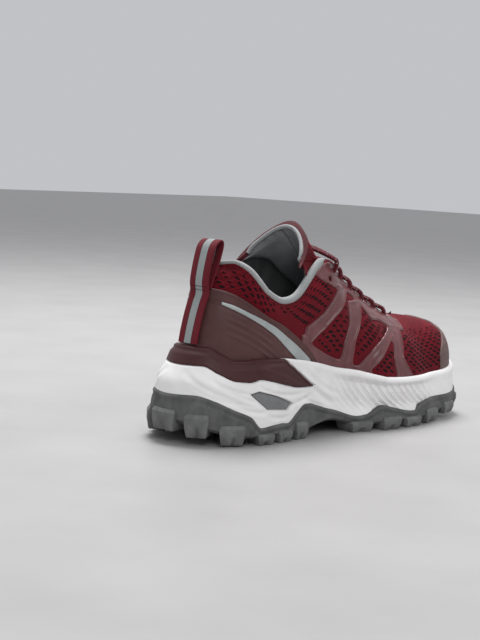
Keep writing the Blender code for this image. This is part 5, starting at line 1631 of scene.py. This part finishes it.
def top_run():
    """The lace's last run across the tongue, with its hidden ends behind the two top eyelets."""
    ends = []
    share, row = EYELETS[0]
    rest = FILM + 0.6 * LACE_HEIGHT
    for side in SIDES.values():
        v = row_share(side, share, row)
        ends.append([
            on_stay(side, share, v, -5 * MM),
            on_stay(side, share, v, 0.2 * MM),
            on_stay(side, share - 0.004, v + 0.35 * (1 - v), rest + 1.4 * MM),
            on_stay(side, share - 0.010, 0.995, rest + 1.6 * MM),
        ])
    middle = (ends[0][-1][0] + ends[1][-1][0]) / 2
    middle[2] = max(tongue_height(middle[0]) + LACE_HEIGHT, middle[2] + 3 * MM)
    return ends[0] + [(middle, np.array((-0.5, 0.0, 0.85)))] + ends[1][::-1]


def make_laces(looks):
    """Two lace ends laced criss-cross from the lowest eyelets, with the top run into both top eyelets."""
    pieces = []
    rows = EYELETS[::-1]
    for start in SIDES.values():
        side = start
        for i, (first, second) in enumerate(zip(rows, rows[1:])):
            spots = lace_run(side, first, second)
            over = (i % 2 == 0) == (start == LATERAL)
            spots[4][0][2] += (0.35 * MM if start == LATERAL else -0.2 * MM) + (LACE_HEIGHT * 0.55 if over else 0)
            pieces.append(lace_cord(f"run_{start}_{i}", spots, 60, looks["lace"]))
            side = -side
    pieces.append(lace_cord("run_top", top_run(), 110, looks["lace"]))
    settle(joined("laced_cord", pieces), "red_webbing", "laces")


# The pull tab: heights of its strap over the collar height, then of its loop, each with its distance off the heel
TAB_STRAP = (0.555, 0.61, 0.67, 0.73, 0.79)
TAB_CLEAR = 2.3 * MM
TAB_LOOP = (
    (0.840, 3.4 * MM), (0.900, 7.4 * MM), (0.970, 10.6 * MM), (1.040, 13.2 * MM), (1.100, 14.6 * MM),
    (1.132, 13.4 * MM), (1.142, 10.6 * MM), (1.118, 7.8 * MM), (1.060, 6.0 * MM), (1.000, 4.8 * MM),
    (0.930, 3.8 * MM), (0.870, 3.0 * MM),
)


def heel_back(height):
    """How far along the upper's outer face is at the heel's back; above the collar its line runs on."""
    rib = Ribs(np.array([0.0]))
    top_r, top_z = (float(x[0]) for x in upper_profile(rib, np.array([1.0])))
    rim = float(rim_share(rib)[0])
    low_r, low_z = (float(x[0]) for x in upper_profile(rib, np.array([1 - (1 - rim) / 3])))
    if height > top_z:
        return rib.x[0] - SHOE_LENGTH / 2 - (top_r + (height - top_z) * (top_r - low_r) / (top_z - low_z))
    return float(rib.place(upper_profile(rib, share_up(rib, np.array([height])))[0], height)[0, 0])


def make_pull_tab(looks):
    """Striped webbing sewn up the counter and folded into a finger loop, with its cross stitches."""
    strap = [(share, TAB_CLEAR + 0.65 * TAB_WEB) for share in TAB_STRAP]
    spots = [(heel_back(s * COLLAR_HEIGHT) - off, 0.0, s * COLLAR_HEIGHT) for s, off in (*strap, *TAB_LOOP)]
    line = along_curve(spots, 220)
    ahead = unit(np.gradient(line, axis=0))
    ups = np.stack([-ahead[:, 2], np.zeros(len(line)), ahead[:, 0]], axis=1)
    made = swept("webbing_loop", line, ups, TAB_WIDTH / 2, TAB_WEB / 2, 28, looks["webbing"], squareness=6.0)
    made.data.set_sharp_from_angle(angle=math.radians(50))
    settle(made, "red_webbing", "pull_tab")
    seam = int(np.argmin(abs(line[:110, 2] - 0.862 * COLLAR_HEIGHT)))
    across = np.linspace(-0.46, 0.46, 30)[:, None] * (0, TAB_WIDTH, 0)
    facing = np.repeat(ups[seam][None], 30, axis=0)
    for k, offset in enumerate((0, 5)):
        row = across + line[seam + offset] + ups[seam] * (TAB_WEB / 2)
        stitch_row(f"loop_stitches_{k}", row, facing, 1.5 * MM, looks["stitch"], 1.9 * MM)


# --- perforations --------------------------------------------------------------------------------

HOLE_STEP = 7.4 * MM  # from hole to hole along a row
HOLE_ROW_STEP = 0.036  # from row to row up the wall, in v
HOLE_SIZES = {"Length": 2.7 * MM, "Width": 1.05 * MM, "Rise": 0.2 * MM}


def mesh_hole_spots():
    """Turn and v of the mesh's holes: staggered rows up the wall on both sides."""
    found = []
    dense = np.linspace(0.004, 0.996, 900)
    for side in SIDES.values():
        for row, v in enumerate(np.arange(0.10, 0.985, HOLE_ROW_STEP)):
            run = length_along(plain_point(turn_of(side, dense), np.full_like(dense, v)))
            run = run - np.interp(0.5, dense, run)
            at = np.arange(math.ceil(run[0] / HOLE_STEP), run[-1] / HOLE_STEP) + (row % 2) / 2
            at = at * HOLE_STEP + 0.35 * MM * np.sin(at * HOLE_STEP * 2100 + row * 1.7)
            turn = turn_of(side, np.interp(at, run, dense))
            found.append(np.stack([turn, np.full_like(turn, v)], axis=1))
    return np.vstack(found)


def hole_room(rib, v):
    """Where the mesh is bare and open enough for a hole."""
    share, counter = rib.share, counter_distance(rib, v)
    bare = (cage_distance(rib, v) > 2.0 * MM) & (counter > 2.2 * MM) & (toe_cap_distance(rib, v) > 2.0 * MM)
    bare &= upper_profile(rib, v)[1] > side_line("rim", rib) + 2.5 * MM
    bare &= (v < 0.955) | (share > 0.71)
    quarter = (share > 0.25) & (share < 0.40) & (counter < 9 * MM)
    vamp_top = (share > 0.69) & (v > 0.66)
    return bare & ~quarter & ~vamp_top


def make_mesh_holes(looks):
    """The upper's slanting holes, larger in the cage's windows and fading out up the vamp."""
    turn, v = mesh_hole_spots().T
    clear = hole_room(Ribs(turn), v)
    turn, v = turn[clear], v[clear]
    share = Ribs(turn).share
    size = 0.88 + 0.18 * smooth_step(0.38, 0.42, share) - 0.15 * smooth_step(0.80, 0.97, v)
    size = size * (1 + 0.14 * np.sin(turn * 211 + v * 97))
    size = np.where(share > 0.69, size * (1 - 0.5 * smooth_step(0.48, 0.66, v)), size)
    where, facing = upper_point(turn, v, 0.02 * MM)
    ahead, _ = upper_point(turn + 0.004, v)
    way = np.where(turn > 1, -1, 1)[:, None]
    along = unit(ahead - where) * way
    lean = 0.34 * np.where(np.rint(v / HOLE_ROW_STEP) % 2 == 0, 1.0, 0.55)[:, None]
    along = unit(along - lean * np.cross(facing, along) * way)
    scatter_holes("upper", where, facing, along, size, looks)


def scatter_holes(name, where, facing, along, size, looks):
    """Near-black discs for the holes, painted shade of the lining seen through them, each in a low ring of thread."""
    for piece, shape, lift, look in (("holes", "disc", 0.07 * MM, "hole"), ("threads", "ring", 0.0, "thread")):
        made = scattered(
            f"{name}_mesh_{piece}", where + facing * lift, facing, along, size, shape, HOLE_SIZES, looks[look],
        )
        settle(made, "red_mesh")


def make_tongue_holes(looks):
    """The holes in the tongue's outer mesh, in staggered rows on both sides of its middle."""
    key, a = np.meshgrid(np.linspace(4.3, 7.0, 26), np.linspace(-0.86, 0.86, 13), indexing="ij")
    a = a + np.where(np.arange(26)[:, None] % 2 == 0, 0.0, 0.066)
    keep = (abs(a) < 0.9) & (abs(a) > 0.12)
    key, a = key[keep], a[keep]
    spot, inward, _ = tongue_frame(key, a)
    along = unit(tongue_frame(key, a + 0.03)[0] - spot)
    where = spot - inward * (tongue_quilt(key, a) + 0.05 * MM)[:, None]
    scatter_holes("tongue", where, -inward, along, np.ones_like(key), looks)


# --- stage -----------------------------------------------------------------------------------------

def make_floor():
    """A plain pale floor with a soft, slightly polished face."""
    mesh = bpy.data.meshes.new("pale_floor")
    mesh.from_pydata([(-6, -6, 0), (6, -6, 0), (6, 6, 0), (-6, 6, 0)], [], [(0, 1, 2, 3)])
    floor = bpy.data.objects.new("pale_floor", mesh)
    bpy.context.scene.collection.objects.link(floor)
    mesh.materials.append(finish(
        "pale_stone", (0.36, 0.352, 0.350), (0.44, 0.432, 0.430), 0.42,
        grain=5 * MM, depth=0.01 * MM, patch=90 * MM,
    ))


# Soft round lights: place, the height over the floor that they aim at, size in metres and power in watts
LIGHTS = {
    "high_window": ((0.30, 0.45, 1.5), 0.05, 0.8, 29),
    "side_fill": ((-1.1, -1.2, 1.3), 0.06, 0.9, 8),
    "front_fill": ((0.9, -1.4, 0.8), 0.05, 0.7, 4),
}
ROOM_COLOUR, ROOM_STRENGTH = (0.95, 0.965, 1.0, 1), 0.56


def soft_light(name, place, aim, size, power):
    """A round studio light that looks at the shoe's middle at this height."""
    light = bpy.data.lights.new(name, "AREA")
    light.shape, light.size, light.energy = "DISK", size, power
    made = bpy.data.objects.new(name, light)
    made.location = place
    made.rotation_euler = (Vector((0, 0, aim)) - Vector(place)).to_track_quat("-Z", "Y").to_euler()
    bpy.context.scene.collection.objects.link(made)


def light_stage():
    """Even room light and the soft studio lights."""
    world = bpy.data.worlds.new("soft_room")
    world.use_nodes = True
    back = world.node_tree.nodes["Background"]
    back.inputs["Color"].default_value = ROOM_COLOUR
    back.inputs["Strength"].default_value = ROOM_STRENGTH
    bpy.context.scene.world = world
    for name, settings in LIGHTS.items():
        soft_light(name, *settings)


# The photograph's camera: place, the way it looks, its roll and its lens
CAMERA_PLACE = (-0.79234, -0.68244, 0.18636)
CAMERA_AHEAD = (0.71769, 0.68811, -0.10686)
CAMERA_ROLL = 3
CAMERA_LENS, CAMERA_SENSOR = 78.75, 36


def make_camera():
    """The photograph's view of the shoe: from behind the heel on the lateral side, a little above it."""
    settings = bpy.context.scene.view_settings
    settings.view_transform, settings.look, settings.exposure, settings.gamma = "Standard", "None", 0.0, 1.0
    ahead = Vector(CAMERA_AHEAD).normalized()
    right = Vector((ahead.y, -ahead.x, 0)).normalized()
    up = right.cross(ahead)
    roll = math.radians(CAMERA_ROLL)
    turned = right * math.cos(roll) + up * math.sin(roll)
    upright = up * math.cos(roll) - right * math.sin(roll)
    lens = bpy.data.cameras.new("photo_view")
    lens.lens, lens.sensor_width = CAMERA_LENS, CAMERA_SENSOR
    camera = bpy.data.objects.new("photo_view", lens)
    rows = zip(turned, upright, -ahead, CAMERA_PLACE)
    camera.matrix_world = Matrix((*rows, (0, 0, 0, 1)))
    bpy.context.scene.collection.objects.link(camera)
    bpy.context.scene.camera = camera


def dress_shoe():
    """Makes every piece of the shoe, then its stage."""
    make_camera()
    looks = shoe_finishes()
    for make in (
        make_foam, make_rubber, make_clip, make_shell, make_cages, make_counter, make_toe_cap, make_binding,
        make_tongue, make_tongue_wings, make_insole, make_laces, make_pull_tab, make_mesh_holes, make_tongue_holes,
    ):
        make(looks)
    make_floor()
    light_stage()


dress_shoe()
